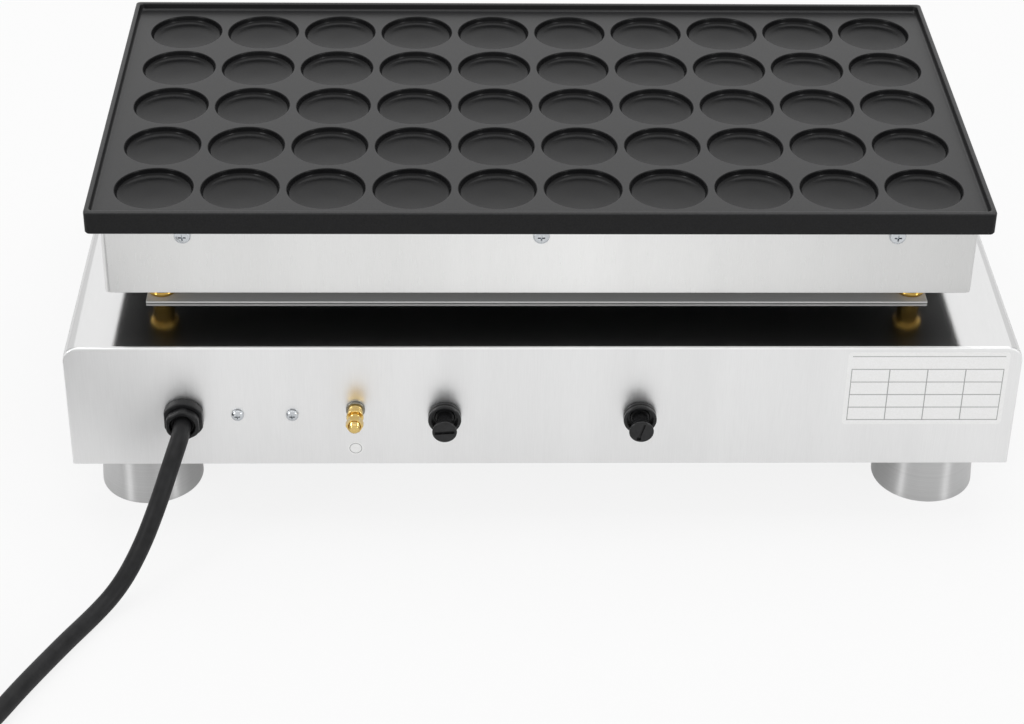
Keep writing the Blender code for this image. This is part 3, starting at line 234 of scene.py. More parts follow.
# %% Stage
def partly_white(owner, output, plain, white, in_mirrors, in_picture):
    """Mixes a plain shader with a white one that only mirrors, glass and the camera see."""
    owner.use_nodes = True
    tree = owner.node_tree
    tree.nodes.clear()
    path = add_node(tree, "ShaderNodeLightPath").outputs
    mirrored = maths("MAXIMUM", path["Is Glossy Ray"], path["Is Transmission Ray"])
    share = maths("MAXIMUM", maths("MULTIPLY", mirrored, in_mirrors),
                  maths("MULTIPLY", path["Is Camera Ray"], in_picture))
    plain, white = (add_node(tree, kind, inputs).outputs[0] for kind, inputs in (plain, white))
    both = add_node(tree, "ShaderNodeMixShader", {0: share, 1: plain, 2: white}).outputs[0]
    add_node(tree, output, {"Surface": both})


start_fresh()
bpy.ops.mesh.primitive_plane_add(size=14, location=(0, 0, 0))
floor = bpy.context.object
floor.name = "studio_floor"
floor_paint = bpy.data.materials.new("studio_floor_matt_paint")
partly_white(floor_paint, "ShaderNodeOutputMaterial",
             ("ShaderNodeBsdfDiffuse", {"Color": (0.86, 0.86, 0.86, 1.0)}),
             ("ShaderNodeEmission", {"Color": WHITE, "Strength": 1.0}), in_mirrors=0.30, in_picture=0.84)
paint(floor, floor_paint)
floor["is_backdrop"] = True

world = bpy.data.worlds.new("studio_world")
bpy.context.scene.world = world
partly_white(world, "ShaderNodeOutputWorld",
             ("ShaderNodeBackground", {"Color": WHITE, "Strength": 0.62}),
             ("ShaderNodeBackground", {"Color": WHITE, "Strength": 1.0}), in_mirrors=0.60, in_picture=1.0)

# %% Lamps
start_fresh()
lamps = [
    ("overhead_softbox", (0.0, 0.25, 1.9), (0, 0, 0), (2.0, 1.5), 13.0),
    ("left_softbox", (-1.9, -1.8, 0.85), (0, 0, 0.1), (0.45, 0.8), 9.0),
    ("right_softbox", (1.9, -1.8, 0.85), (0, 0, 0.1), (0.45, 0.8), 7.5),
    ("rear_softbox", (0.0, 2.0, 1.3), (0, 0, 0.1), (3.0, 1.5), 4.0),
]
for name, place, aim, size, power in lamps:
    bpy.ops.object.light_add(type="AREA", location=place)
    lamp = bpy.context.object
    lamp.name = name
    lamp.data.shape = "RECTANGLE"
    lamp.data.size, lamp.data.size_y = size
    lamp.data.energy = power
    lamp.rotation_mode = "QUATERNION"
    lamp.rotation_quaternion = (Vector(aim) - Vector(place)).to_track_quat("-Z", "Y")
    lamp.select_set(False)
bpy.context.scene.view_settings.view_transform = "Standard"
print("lamps", len(lamps))

# %% [markdown]
# ## The mains lead
# A rubber lead of 10 mm leaves the gland, drops to the worktop and runs out of the picture to the
# left. The rest of its length lies there in a flat coil of three turns and a bit, tied once. It is one
# round-bevelled curve from the gland to the plug, along a smooth line through the solids' own points.

# %% Route of the lead
cord_diameter = 10 * MM
gland_x, rear_face = -0.2005, -0.170
route = [(0.0, -0.0079, 0.0738), (0.0, -0.0179, 0.0738), (-0.0042, -0.0350, 0.0663),
         (-0.0108, -0.0490, 0.0503), (-0.0198, -0.0605, 0.0303), (-0.0310, -0.0725, 0.0130),
         (-0.0428, -0.0870, 0.0056), (-0.0560, -0.1100, 0.0053), (-0.0735, -0.1435, 0.0053),
         (-0.0900, -0.1775, 0.0055), (-0.1100, -0.2040, 0.0057), (-0.1365, -0.2185, 0.0059)]
coil_centre = (gland_x - 0.1635, rear_face - 0.1600)
coil_radius, coil_turns, coil_pitch, coil_layer = 61 * MM, 3.25, 10.9 * MM, 10.8 * MM
entry_share, points_per_turn, coil_end_run = -0.25, 24, 41 * MM
cord_clearance, point_step = 0.9 * MM, 0.012


def through(points, step):
    """Points at an even step along a smooth curve that passes through every given point."""
    knots = [Vector(point) for point in points]
    knots = [2 * knots[0] - knots[1]] + knots + [2 * knots[-1] - knots[-2]]
    dense = []
    for a, b, c, d in zip(knots, knots[1:], knots[2:], knots[3:]):
        for t in (sample / 24 for sample in range(24)):
            dense.append(0.5 * (2 * b + (c - a) * t + (2 * a - 5 * b + 4 * c - d) * t ** 2
                                + (3 * b - a - 3 * c + d) * t ** 3))
    dense.append(knots[-2])
    run = [0.0]
    for a, b in zip(dense, dense[1:]):
        run.append(run[-1] + (b - a).length)
    count, index, even = max(2, round(run[-1] / step)), 0, []
    for wanted in (run[-1] * number / count for number in range(count + 1)):
        while index < len(dense) - 2 and run[index + 1] < wanted:
            index += 1
        span = run[index + 1] - run[index]
        even.append(dense[index].lerp(dense[index + 1], (wanted - run[index]) / span if span else 0.0))
    return even


def coil_points():
    """The coil's points: in from its outer turn, up half way, and out again one layer higher."""
    count = round(coil_turns * points_per_turn)
    points = []
    for number in range(count + 1):
        turn = coil_turns * number / count
        radius = coil_radius - coil_pitch * (coil_turns / 2 - abs(turn - coil_turns / 2))
        climb = min(1.0, max(0.0, 2 * (turn - coil_turns / 2) + 0.5))
        height = cord_diameter / 2 + cord_clearance + coil_layer * climb * climb * (3 - 2 * climb)
        angle = 2 * math.pi * (entry_share - turn)
        points.append(Vector((coil_centre[0] + radius * math.cos(angle),
                              coil_centre[1] + radius * math.sin(angle), height)))
    way_in, way_out = Vector((cord_diameter, 0, 0)), Vector((0, coil_end_run, 0))
    return [points[0] + way_in] + points + [points[-1] + way_out]


coil = coil_points()
lead = [Vector((gland_x + x, rear_face + y, z)) for x, y, z in route] + [coil[0]]
lead = [lead[0]] + through(lead[1:], point_step)
cord_line = lead[:-1] + coil

# %% Lead as one curve
start_fresh()
cord_curve = bpy.data.curves.new("mains_lead", "CURVE")
cord_curve.dimensions = "3D"
cord_curve.bevel_depth = cord_diameter / 2
cord_curve.bevel_resolution = 8
cord_curve.use_fill_caps = True
cord_curve.resolution_u = cord_curve.render_resolution_u = 4
spline = cord_curve.splines.new("NURBS")
spline.points.add(len(cord_line) - 1)
for knot, point in zip(spline.points, cord_line):
    knot.co = (*point, 1.0)
spline.use_endpoint_u = True
spline.order_u = 3
spline.use_smooth = True
mains_lead = bpy.data.objects.new("mains_lead", cord_curve)
bpy.context.scene.collection.objects.link(mains_lead)

# %% [markdown]
# ### Rubber-sheathed cable
# The sheath is extruded chloroprene rubber: almost black, a soft broad sheen along its lit side, and
# a very fine mottle from talc. The colour moves slightly over a few millimetres, and a 0.4 mm noise
# gives the surface its dull grain.

# %% Cable material
rubber_sheath, place = new_material("extruded_rubber_sheath", roughness=0.46, specular_ior_level=0.2)
finish(rubber_sheath, shades(noise(place, 6 * MM, 4.0), (0.3, "#1c1c1d"), (0.7, "#262627")),
       bumped(noise(place, 0.4 * MM), 0.12))
cord_curve.materials.append(rubber_sheath)
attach(mains_lead, "machine")
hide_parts("cord_lead", "cord_coil")

# %% [markdown]
# ## Ways of modelling that come back
# Most of the machine is either bent sheet or turned on a lathe. `lathe` draws half a section corner by
# corner, as one would extrude a point on screen, and spins it. `pick` selects what an edit works on by
# its place. `hand_over` ends each piece: its place goes into the mesh, it is shaded and painted, it is
# put on the body that carries it, and it takes the place of its plain solids.

# %% Modelling helpers
def pick(piece, test, kind="FACE"):
    """Selects in edit mode only the faces, edges or corners whose middle passes the test."""
    bpy.context.view_layer.objects.active = piece
    mode("EDIT")
    bpy.ops.mesh.select_mode(type=kind)
    bpy.ops.mesh.select_all(action="DESELECT")
    mode("OBJECT")
    mesh = piece.data
    if kind == "FACE":
        for face in mesh.polygons:
            face.select = test(face.center)
    elif kind == "EDGE":
        for edge in mesh.edges:
            a, b = (mesh.vertices[i].co for i in edge.vertices)
            edge.select = test((a + b) / 2)
    else:
        for corner in mesh.vertices:
            corner.select = test(corner.co)
    mode("EDIT")


def extrude(x, y, z):
    """Extrudes what is selected and moves the new part."""
    bpy.ops.mesh.extrude_region_move(TRANSFORM_OT_translate={"value": (x, y, z)})


def face_outwards():
    """Merges doubles and turns every face of the piece in edit mode outwards."""
    bpy.ops.mesh.select_all(action="SELECT")
    bpy.ops.mesh.remove_doubles(threshold=1e-6)
    bpy.ops.mesh.normals_make_consistent(inside=False)


def lathe(name, profile, steps=48):
    """Spins a profile of (radius, height) in mm, drawn corner by corner, round Z at the origin."""
    start_fresh()
    bpy.ops.mesh.primitive_circle_add(vertices=3, radius=MM, location=(0, 0, 0))
    piece = bpy.context.object
    piece.name = name
    mode("EDIT")
    bpy.ops.mesh.select_mode(type="VERT")
    bpy.ops.mesh.merge(type="CENTER")
    corners = [(r * MM, h * MM) for r, h in profile]
    bpy.ops.transform.translate(value=(corners[0][0], 0, corners[0][1]))
    for (r, h), (next_r, next_h) in zip(corners, corners[1:]):
        extrude(next_r - r, 0, next_h - h)
    bpy.ops.mesh.select_all(action="SELECT")
    bpy.ops.mesh.spin(steps=steps, angle=math.tau, center=(0, 0, 0), axis=(0, 0, 1))
    face_outwards()
    mode("OBJECT")
    return piece


def copy_of(piece, name, place=(0, 0, 0), turn=(0, 0, 0)):
    """A copy with its own mesh, moved and turned from where the first one stands."""
    only(piece)
    bpy.ops.object.duplicate(linked=False)
    twin = bpy.context.object
    twin.name = name
    twin.location = place
    twin.rotation_euler = [math.radians(angle) for angle in turn]
    return twin


def family(piece, count):
    """The piece and its copies, their names numbered on from its own."""
    return [piece] + [copy_of(piece, f"{piece.name[:-1]}{i}") for i in range(2, count + 1)]


def cut_with(piece, tool, operation="DIFFERENCE"):
    """Cuts or joins a piece with a second one, which is then thrown away."""
    modify(piece, "BOOLEAN", operation=operation, solver="EXACT", object=tool)
    bpy.data.objects.remove(tool, do_unlink=True)


def round_edges(piece, width, segments=2, angle=50):
    """A small round on every edge that is sharper than the angle."""
    modify(piece, "BEVEL", width=width, segments=segments, limit_method="ANGLE",
           angle_limit=math.radians(angle))


def hand_over(piece, material, *nodes, body="machine", slot=None, smooth=35):
    """Finishes a piece where it stands, and lets it ride on its body in the place of its solids."""
    only(piece)
    freeze()
    bpy.ops.object.shade_smooth_by_angle(angle=math.radians(smooth))
    modify(piece, "WEIGHTED_NORMAL", keep_sharp=True, weight=80)
    if material:
        paint(piece, material)
    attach(piece, body)
    if nodes:
        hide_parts(*nodes)
    piece.select_set(False)
    return piece


# %% [markdown]
# ## The baking plate
# The plate is cast aluminium with a raised rim and ten by five shallow dished cups. One cell starts
# as the square outline of its web. The outline is pulled in, drawn out to a circle, and pulled down
# ring by ring: a rounded lip, a steep wall, a fillet and a dished floor. Two arrays repeat the cell.
# The cups could be cut with a boolean instead, but rings give each fillet its clean, even faces.

# %% One cup and its square of web
plate_x, plate_y, plate_z = -0.0025, -0.02405, 0.1907
cup_pitch = 47.25 * MM
cup_rings = [(22.05, 0.0), (21.85, 0.05), (21.68, 0.18), (21.55, 0.42), (21.47, 0.80), (21.10, 2.40),
             (20.95, 3.00), (20.60, 3.55), (20.00, 4.02), (19.10, 4.36), (17.60, 4.62), (14.0, 4.92),
             (9.5, 5.25), (4.5, 5.50)]
start_fresh()
bpy.ops.mesh.primitive_plane_add(size=cup_pitch, location=(0, 0, 0))
plate = bpy.context.object
plate.name = "plate"
mode("EDIT")
bpy.ops.mesh.subdivide(number_cuts=15)
pick(plate, lambda p: max(abs(p.x), abs(p.y)) < cup_pitch / 2 - 1e-5, "VERT")
bpy.ops.mesh.delete(type="VERT")
bpy.ops.mesh.select_mode(type="EDGE")
bpy.ops.mesh.select_all(action="SELECT")
extrude(0, 0, 0)
bpy.ops.transform.tosphere(value=1.0, center_override=(0, 0, 0))
mode("OBJECT")
circle = [math.hypot(*corner.co.xy) for corner in plate.data.vertices if corner.select]
mode("EDIT")
radius, depth = sum(circle) / len(circle) / MM, 0.0
for next_radius, next_depth in cup_rings:
    shrink = next_radius / radius
    if next_depth:
        extrude(0, 0, (depth - next_depth) * MM)
    bpy.ops.transform.resize(value=(shrink, shrink, 1), center_override=(0, 0, 0))
    radius, depth = next_radius, next_depth
extrude(0, 0, -0.05 * MM)
bpy.ops.mesh.merge(type="CENTER")
face_outwards()
mode("OBJECT")
print("one cell", len(plate.data.polygons), "faces")

# %% Fifty cells
for axis, count in ((0, 10), (1, 5)):
    modify(plate, "ARRAY", use_relative_offset=False, use_constant_offset=True, count=count,
           use_merge_vertices=True, merge_threshold=0.01 * MM,
           constant_offset_displace=[cup_pitch if i == axis else 0 for i in range(3)])
plate.location = (plate_x - 4.5 * cup_pitch, plate_y - 2 * cup_pitch, plate_z)
freeze()
print("web and cups", len(plate.data.polygons), "faces")

# %% [markdown]
# The rim starts as a flat rectangle with rounded corners under the plate. It is pulled up, out and in
# again along the rim's section, and its last face is taken away. The gap between this opening and
# the outer edge of the cells is then filled flat.

# %% Rim
outer_width, outer_depth = 494.05 * MM, 255.6 * MM
rim_section = [(1.4, 181.0), (0.45, 181.3), (0.0, 182.2), (0.0, 194.0), (0.28, 194.7), (0.9, 195.0),
               (2.1, 195.0), (2.6, 194.8), (2.85, 194.3), (3.25, 191.9), (3.5, 191.15), (4.2, 190.7)]
start_fresh()
bpy.ops.mesh.primitive_plane_add(size=1, location=(plate_x, plate_y, rim_section[0][1] * MM))
rim = bpy.context.object
mode("EDIT")
inset = rim_section[0][0] * MM
middle = (plate_x, plate_y, 0)
bpy.ops.transform.resize(value=(outer_width - 2 * inset, outer_depth - 2 * inset, 1),
                         center_override=middle)
bpy.ops.mesh.bevel(offset=2.4 * MM, segments=6, affect="VERTICES")
for (inset, height), (next_inset, next_height) in zip(rim_section, rim_section[1:]):
    extrude(0, 0, (next_height - height) * MM)
    wide, deep = ((side - 2 * next_inset * MM) / (side - 2 * inset * MM)
                  for side in (outer_width, outer_depth))
    bpy.ops.transform.resize(value=(wide, deep, 1), center_override=middle)
bpy.ops.mesh.delete(type="ONLY_FACE")
mode("OBJECT")
only(plate, rim)
bpy.ops.object.join()
reach_x, reach_y = 5 * cup_pitch, 2.5 * cup_pitch


def on_web_seam(p):
    """True for the edges round the cells and for those of the rim's opening."""
    x, y = abs(p.x - plate_x), abs(p.y - plate_y)
    if abs(p.z - plate_z) > 1e-6:
        return False
    return x > reach_x - 1e-5 or y > reach_y - 1e-5


pick(plate, on_web_seam, "EDGE")
bpy.ops.mesh.fill(use_beauty=True)
face_outwards()
mode("OBJECT")
print("plate", len(plate.data.polygons), "faces")

# %% [markdown]
# ### PTFE coating, sprayed and baked
# The cast plate is grit-blasted, sprayed with a black PTFE paint and baked: almost black, with a soft
# sheen at a low angle and a fine grain. One function makes three copies of it. The web is painted
# lighter with a stronger specular, as a painted sheen. The cups and the outer sides are painted darker
# with a weaker specular, as painted shade. The sides are also rougher and the cups smoother. The grain
# of 0.5 mm is coarser than in life, because it has to show in a picture 1,024 wide.

# %% Coating
def ptfe_coating(name, dark, light, rough, gloss):
    """A sprayed black coating with fine specks and grain on a slightly wavy casting."""
    material, place = new_material(name, roughness=rough, specular_ior_level=gloss)
    wave = bumped(noise(place, 30 * MM), 0.2, 0.4 * MM)
    return finish(material, shades(noise(place, 0.9 * MM, 3.0), (0.35, dark), (0.68, light)),
                  bumped(noise(place, 0.5 * MM), 0.16, 0.12 * MM, Normal=wave))


# Three copies of one coating: the web's is lighter and glossier as a painted sheen, and those of the cups
# and the sides are darker as painted shade.
sheen_web_coating = ptfe_coating("baked_ptfe_coating_on_web", "#1c1c1d", "#282829", 0.36, 0.42)
shaded_cup_coating = ptfe_coating("baked_ptfe_coating_in_cups", "#111112", "#19191a", 0.24, 0.17)
shaded_side_coating = ptfe_coating("baked_ptfe_coating_on_sides", "#121213", "#1b1b1c", 0.5, 0.2)
below_cups = 0.1845
for coating in (sheen_web_coating, shaded_cup_coating, shaded_side_coating):
    plate.data.materials.append(coating)
# The faces inside the cells take the darker cup copy and the steep outer faces the darker side copy: painted
# shade.
for face in plate.data.polygons:
    x, y, z = face.center
    if z < plate_z - 1e-5 and max(abs(x - plate_x) - reach_x, abs(y - plate_y) - reach_y) < 0:
        face.material_index = 1 if z > below_cups else 2
    elif face.normal.z < 0.3:
        face.material_index = 2
hand_over(plate, None, "baking_plate", slot="nonstick", smooth=40)

# %% [markdown]
# ## Bent sheet
# The housing, the base and its panels are folded from 1.2 mm stainless sheet. The solids already have
# their outlines, flanges and holes, so a copy of each is merged, freed of its flat triangles and
# given what a folding press leaves: a round on every outside bend and a broken edge elsewhere.
# `bend` names the edges of the large rounds by their place.

# %% Copy a solid and round its bends
def sheet_piece(node, name, bend=None, radius=1.0 * MM, edge=0.2 * MM, rearwards=0):
    """A finer copy of a sheet solid, with large rounds at its bends and small ones elsewhere.

    `rearwards` is how far the shield's edge on the connection side is pulled out.
    """
    only(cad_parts[node])
    bpy.ops.object.duplicate(linked=False)
    piece = bpy.context.object
    piece.name = name
    mode("EDIT")
    face_outwards()
    bpy.ops.mesh.dissolve_limited(angle_limit=math.radians(1))
    mode("OBJECT")
    if bend:
        pick(piece, bend, "EDGE")
        bpy.ops.mesh.bevel(offset=radius, segments=5, affect="EDGES", clamp_overlap=True)
        mode("OBJECT")
    if rearwards:
        pick(piece, lambda p: p.y < shield_edge_y, "VERT")
        bpy.ops.transform.translate(value=(0, -rearwards, 0))
        mode("OBJECT")
    round_edges(piece, edge)
    print(name, len(piece.data.polygons), "faces")
    return piece


# %% [markdown]
# ### Brushed stainless steel
# Sheet of the 18/8 kind, ground with a fine belt. It mirrors its surroundings, smeared across the
# grain, so a reflected edge turns into a soft band. The eye sees very fine lines along the grain and
# broad, faint bands across it, where the belt pressed harder. The lines are 0.35 mm apart, drawn far
# coarser than the real grit so that they show. The grain stands upright on the panels.

# %% Steel finishes
def brushed_steel(name, light, dark, rough, along="Z", relief=0.012, painted_reflection_sweep=None, **values):
    """Stainless steel with its grain along one axis; the sweep, if given, multiplies its colour from left to
    right as a painted reflection.
    """
    material, place = new_material(name, roughness=rough, **{"metallic": 1.0, **values})
    line, belt = 1 / (0.35 * MM), 1 / (22 * MM)
    grain = noise(stretched(place, along, line / 40, line), 1.0, 3.0)
    band = noise(stretched(place, along, belt / 12, belt), 1.0)
    colour = shades(maths("MULTIPLY", maths("ADD", grain, band), 0.5), (0.38, dark), (0.62, light))
    # A ramp over X multiplies the colour here: a painted reflection, not a change in the steel.
    if painted_reflection_sweep:
        tree = material.node_tree
        across = add_node(tree, "ShaderNodeSeparateXYZ", {"Vector": place}).outputs["X"]
        run = shades(spread(across, 0, 1, -0.25, 0.25), *painted_reflection_sweep)
        colour = add_node(tree, "ShaderNodeMixRGB", {"Fac": 1.0, "Color1": colour, "Color2": run},
                          blend_type="MULTIPLY").outputs["Color"]
    return finish(material, colour, bumped(grain, relief), spread(grain, rough - 0.03, rough + 0.03))


panel_steel = brushed_steel("belt_ground_stainless_panel", "#f2f2f2", "#ededed", 0.36)
cover_steel = brushed_steel("belt_ground_stainless_cover", "#dcdcdc", "#d8d8d8", 0.14, "Y", relief=0.005)
# The housing's colour is multiplied from left to right as a painted reflection: lightest a little right of
# the middle, darker towards both ends, most towards the right.
housing_steel = brushed_steel("belt_ground_stainless_housing", "#f9f9f8", "#f4f4f3", 0.30,
                              painted_reflection_sweep=[(0.0, 0.84), (0.33, 0.91), (0.55, 1.0), (0.8, 0.83), (1.0, 0.72)])
shield_steel = brushed_steel("hot_dip_aluminised_shield", "#f2f2f1", "#e8e8e7", 0.5, "X", metallic=0.1)
# The housing's underside is painted dark grey, far darker than its steel: painted shade for the narrow gap
# under the housing.
painted_shade_underside_steel = brushed_steel("mill_finish_steel_underside", "#4a4a4a", "#3c3c3c", 0.42, "X")
bottom_steel = brushed_steel("mill_finish_stainless_bottom", "#c9c9c8", "#bcbcbb", 0.38, "X")

# %% [markdown]
# The shield's edge on the connection side is pulled out a little past the solid's, to where the
# photograph shows it. A bend is found by the place of its edge's middle.

# %% Base, panels and housing
front_face, cover_top_z, housing_low_z, shield_edge_y = 0.168, 0.119, 0.139, -0.122
panel_side_x, panel_top_z, panel_low_z = 0.2555, 0.1185, 0.0405
cover_bends_y, housing_side_x, housing_side_y = (-0.1685, 0.1665), 0.2385, 0.1195


def on_panel_bend(face):
    """The test for the outer edges of the panel whose outside lies there."""
    return lambda p: abs(p.y - face) < 1e-5 and (
        abs(p.x) > panel_side_x or p.z > panel_top_z or p.z < panel_low_z)


def on_cover_bend(p):
    """True for the two long bends of the cover's top."""
    return abs(p.z - cover_top_z) < 1e-5 and min(abs(p.y - y) for y in cover_bends_y) < 1e-5


def on_housing_bend(p):
    """True for the housing's four lower bends."""
    return (abs(p.z - housing_low_z) < 1e-5
            and (abs(p.x - plate_x) > housing_side_x or abs(p.y - plate_y) > housing_side_y))


sheets = [
    ("rear_panel", panel_steel, "brushed", {"bend": on_panel_bend(rear_face), "radius": 0.9 * MM}),
    ("front_panel", panel_steel, "brushed", {"bend": on_panel_bend(front_face), "radius": 0.9 * MM}),
    ("base_wrap", cover_steel, "brushed", {"bend": on_cover_bend}),
    ("base_bottom", bottom_steel, "brushed", {}),
    ("heater_housing", housing_steel, "polished", {"bend": on_housing_bend, "radius": 1.1 * MM}),
    ("heat_shield", shield_steel, "brushed", {"edge": 0.3 * MM, "rearwards": 3.2 * MM}),
    ("housing_bottom", painted_shade_underside_steel, "dark", {})]
for node, steel, finish_name, shape in sheets:
    piece = sheet_piece(node, node.replace("wrap", "cover") + "_bent", **shape)
    hand_over(piece, steel, node, slot=f"{finish_name}_sheet")

# %% [markdown]
# ## Feet
# Each foot is a spun steel bell: a flat rim on the worktop, an almost upright side, a rounded
# shoulder and a short neck under the base. One is turned on the lathe and three are copies.

# %% Turned feet
foot_places = [(-0.227, -0.126), (0.227, -0.126), (-0.227, 0.124), (0.227, 0.124)]
shoulder = [(19.9 + 8.5 * math.sin(math.radians(a)), 27.5 + 8.2 * math.cos(math.radians(a)))
            for a in (90, 75, 60, 45, 30, 15, 4)]
bell = [(0, 3), (24.4, 3), (25, 2.6), (25, 0.3), (25.4, 0), (28.6, 0), (29.1, 0.25), (29.3, 0.8),
        (29.2, 3), (28.9, 8), (28.6, 14), (28.4, 19)] + shoulder + [
            (13.6, 35.8), (12.8, 36.2), (12.5, 36.8), (12.5, 39.4), (12.1, 39.7), (0, 39.7)]
foot = lathe("bell_foot_1", bell, 96)
feet = family(foot, 4)

# %% [markdown]
# ### Turned metal
# The tool leaves faint rings round the axis. A noise that changes fast along the axis and slowly
# across it gives them, and it moves the colour, the polish and the relief together. One function
# serves the feet, the brass and the screws. The feet's rings are too fine to see, but they smear
# every light along the axis, so their shader is anisotropic with an upright tangent.

# %% Turned metal
def turned_metal(name, light, dark, rough, axis="Y", ring=0.4 * MM, relief=0.04, **values):
    """Metal with faint rings round one axis of the machine."""
    material, place = new_material(name, metallic=1.0, roughness=rough, **values)
    rings = noise(stretched(place, axis, 1 / ring, 12), 1.0, 3.0)
    return finish(material, shades(rings, (0.3, dark), (0.7, light)), bumped(rings, relief),
                  spread(rings, rough - 0.02, rough + 0.03))


foot_steel = turned_metal("polished_spun_stainless", "#d6d6d6", "#cecece", 0.38, "Z", 0.6 * MM, 0.01,
                          anisotropic=0.95)
upright = add_node(foot_steel.node_tree, "ShaderNodeCombineXYZ", {"Z": 1.0}).outputs[0]
finish(foot_steel, tangent=upright)
for number, (piece, (x, y)) in enumerate(zip(feet, foot_places), start=1):
    piece.location = (x, y, 0)
    hand_over(piece, foot_steel, f"foot_{number}", slot="foot_steel", smooth=30)
print("feet", len(feet))

# %% [markdown]
# ## Places of the small fittings
# Every fitting is made along Z with its seat at the origin and then set on a panel. `middle_of` reads
# the place from the solid that it takes over, and `around` copies a cutting tool round the axis.
# Profiles, boxes and prisms are given in mm.

# %% Helpers for fittings
def middle_of(node):
    """The middle of a solid's box."""
    low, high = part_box(node)
    return Vector([(a + b) / 2 for a, b in zip(low, high)])


def on_panel(piece, x, y, z, material, *nodes, side=1, turn=0, **how):
    """Hands a piece over that was made along Z and stands out of the rear (1) or front (-1) side."""
    piece.location = (x, y, z)
    piece.rotation_euler = (math.radians(90 * side), math.radians(-turn * side), 0)
    return hand_over(piece, material, *nodes, **how)


def solid(kind, name, place=(0, 0, 0), size=(1, 1, 1), sides=6, radius=1.0, depth=1.0):
    """A box or a prism at its size and place in mm, with its origin on the machine's."""
    start_fresh()
    place = [value * MM for value in place]
    if kind == "box":
        bpy.ops.mesh.primitive_cube_add(size=1, location=place, scale=[value * MM for value in size])
    else:
        bpy.ops.mesh.primitive_cylinder_add(vertices=sides, radius=radius * MM, depth=depth * MM,
                                            location=place)
    piece = bpy.context.object
    piece.name = name
    freeze()
    return piece


def around(piece, count):
    """Copies a piece round Z and joins the copies to it."""
    twins = [copy_of(piece, f"{piece.name}_{i}", turn=(0, 0, 360 * i / count)) for i in range(1, count)]
    only(piece, *twins)
    bpy.ops.object.join()
    freeze()
    return piece


# %% [markdown]
# ## Brass posts
# The hot housing stands off the base on four turned brass posts. Each is a slim shaft with a rounded
# collar at both ends. The post is turned once and copied three times. The metal has the warm, slightly
# greenish yellow of bare brass, with dark edges where it mirrors the gap.

# %% Posts and brass
brass = turned_metal("turned_bare_brass", "#d9b766", "#c49c4a", 0.17, "Z", 0.4 * MM)
brass_fitting = turned_metal("turned_brass_fitting", "#ecd08a", "#cfae66", 0.14, "Y", 0.35 * MM)
post_middle_z = 130.5
collar = [(3.0, 120.8), (7.1, 120.8), (7.9, 121.1), (8.3, 121.8), (8.3, 123.0), (7.95, 123.8),
          (7.2, 124.15), (6.4, 124.3), (6.1, 124.8)]
post_profile = [(0, 111.6), (2.7, 111.6), (3.0, 111.9)] + collar + [
    (r, 2 * post_middle_z - h) for r, h in reversed(collar)] + [(3.0, 147.9), (2.7, 148.2), (0, 148.2)]
posts = family(lathe("brass_post_1", post_profile, 64), 4)
for number, piece in enumerate(posts, start=1):
    piece.location = (*middle_of(f"standoff_{number}").xy, 0)
    hand_over(piece, brass, f"standoff_{number}", slot="brass")
print("posts", len(posts))

# %% [markdown]
# ## Pan-head screws
# The housing is held to the plate by six pan-head screws, and two smaller ones hold the terminal
# block. The head is turned, and its cross recess is cut with a tapered plus: a small cube whose four
# sides are pulled out and whose lower end is drawn together. Zinc plating gives the heads a cool,
# faintly blue grey that is a little duller than the polished steel.

# %% Screws
zinc_plate = turned_metal("zinc_plated_pressed_steel", "#dcdfe2", "#c4c8cc", 0.2, "Y", 0.3 * MM)


def pan_screw(name, head, height, shank, length):
    """A screw along Z with its seat at the origin and a cross recess in its head, in mm."""
    dome = [(0.90, 0.0), (0.98, 0.05), (1.0, 0.16), (1.0, 0.34), (0.965, 0.52), (0.90, 0.68), (0.78, 0.83),
            (0.60, 0.94), (0.35, 0.99), (0, 1.0)]
    shaft = [(0, -length), (shank * 0.8, -length), (shank, -length + shank * 0.4), (shank, 0)]
    screw = lathe(name, shaft + [(head * r, height * h) for r, h in dome], 40)
    arm = head * 0.26
    cross = solid("box", "cross_tool", (0, 0, height), (arm, arm, height * 1.3))
    pick(cross, lambda p: abs(p.z - height * MM) < 1e-6)
    bpy.ops.mesh.extrude_faces_move(TRANSFORM_OT_shrink_fatten={"value": head * 0.46 * MM})
    mode("OBJECT")
    pick(cross, lambda p: p.z < height * 0.4 * MM, "VERT")
    bpy.ops.transform.resize(value=(0.5, 0.5, 1), center_override=(0, 0, 0))
    mode("OBJECT")
    cut_with(screw, cross)
    return screw


nodes = [f"housing_screw_{row}_{spot}" for row in ("rear", "front") for spot in ("left", "middle", "right")]
screws = family(pan_screw("housing_screw_head_1", 4.6, 2.6, 2.0, 8), 6)
for piece, node in zip(screws, nodes):
    low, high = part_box(node)
    side, seat = (1, low[1] + 2.6 * MM) if "rear" in node else (-1, high[1] - 2.6 * MM)
    on_panel(piece, middle_of(node).x, seat, middle_of(node).z, zinc_plate, node, side=side, slot="screw")
for number, piece in enumerate(family(pan_screw("terminal_screw_head_1", 3.5, 2.2, 1.7, 9), 2), start=1):
    node = f"terminal_screw_{number}"
    on_panel(piece, middle_of(node).x, rear_face - 0.3 * MM, middle_of(node).z, zinc_plate, node,
             slot="screw")
print("screws", len(screws) + 2, "faces each", len(screws[0].data.polygons))

# %% [markdown]
# ## Moulded plastics and rubber
# The gland, the fuse holders and the plug are injection moulded. Their colour is even, so what the eye
# reads is the surface: a soft shine, a fine texture that the mould was sparked with, and faint clouds
# where the melt flowed. The clouds move colour and polish, the texture is a small bump.

# %% Moulded materials
def moulded(name, light, dark, rough, grain=0.35 * MM, relief=0.08, **values):
    """An injection-moulded surface with flow clouds and a fine texture."""
    material, place = new_material(name, roughness=rough, **values)
    flow = noise(place, 4 * MM, 3.0)
    return finish(material, shades(flow, (0.32, dark), (0.7, light)), bumped(noise(place, grain), relief),
                  spread(flow, rough - 0.03, rough + 0.04))


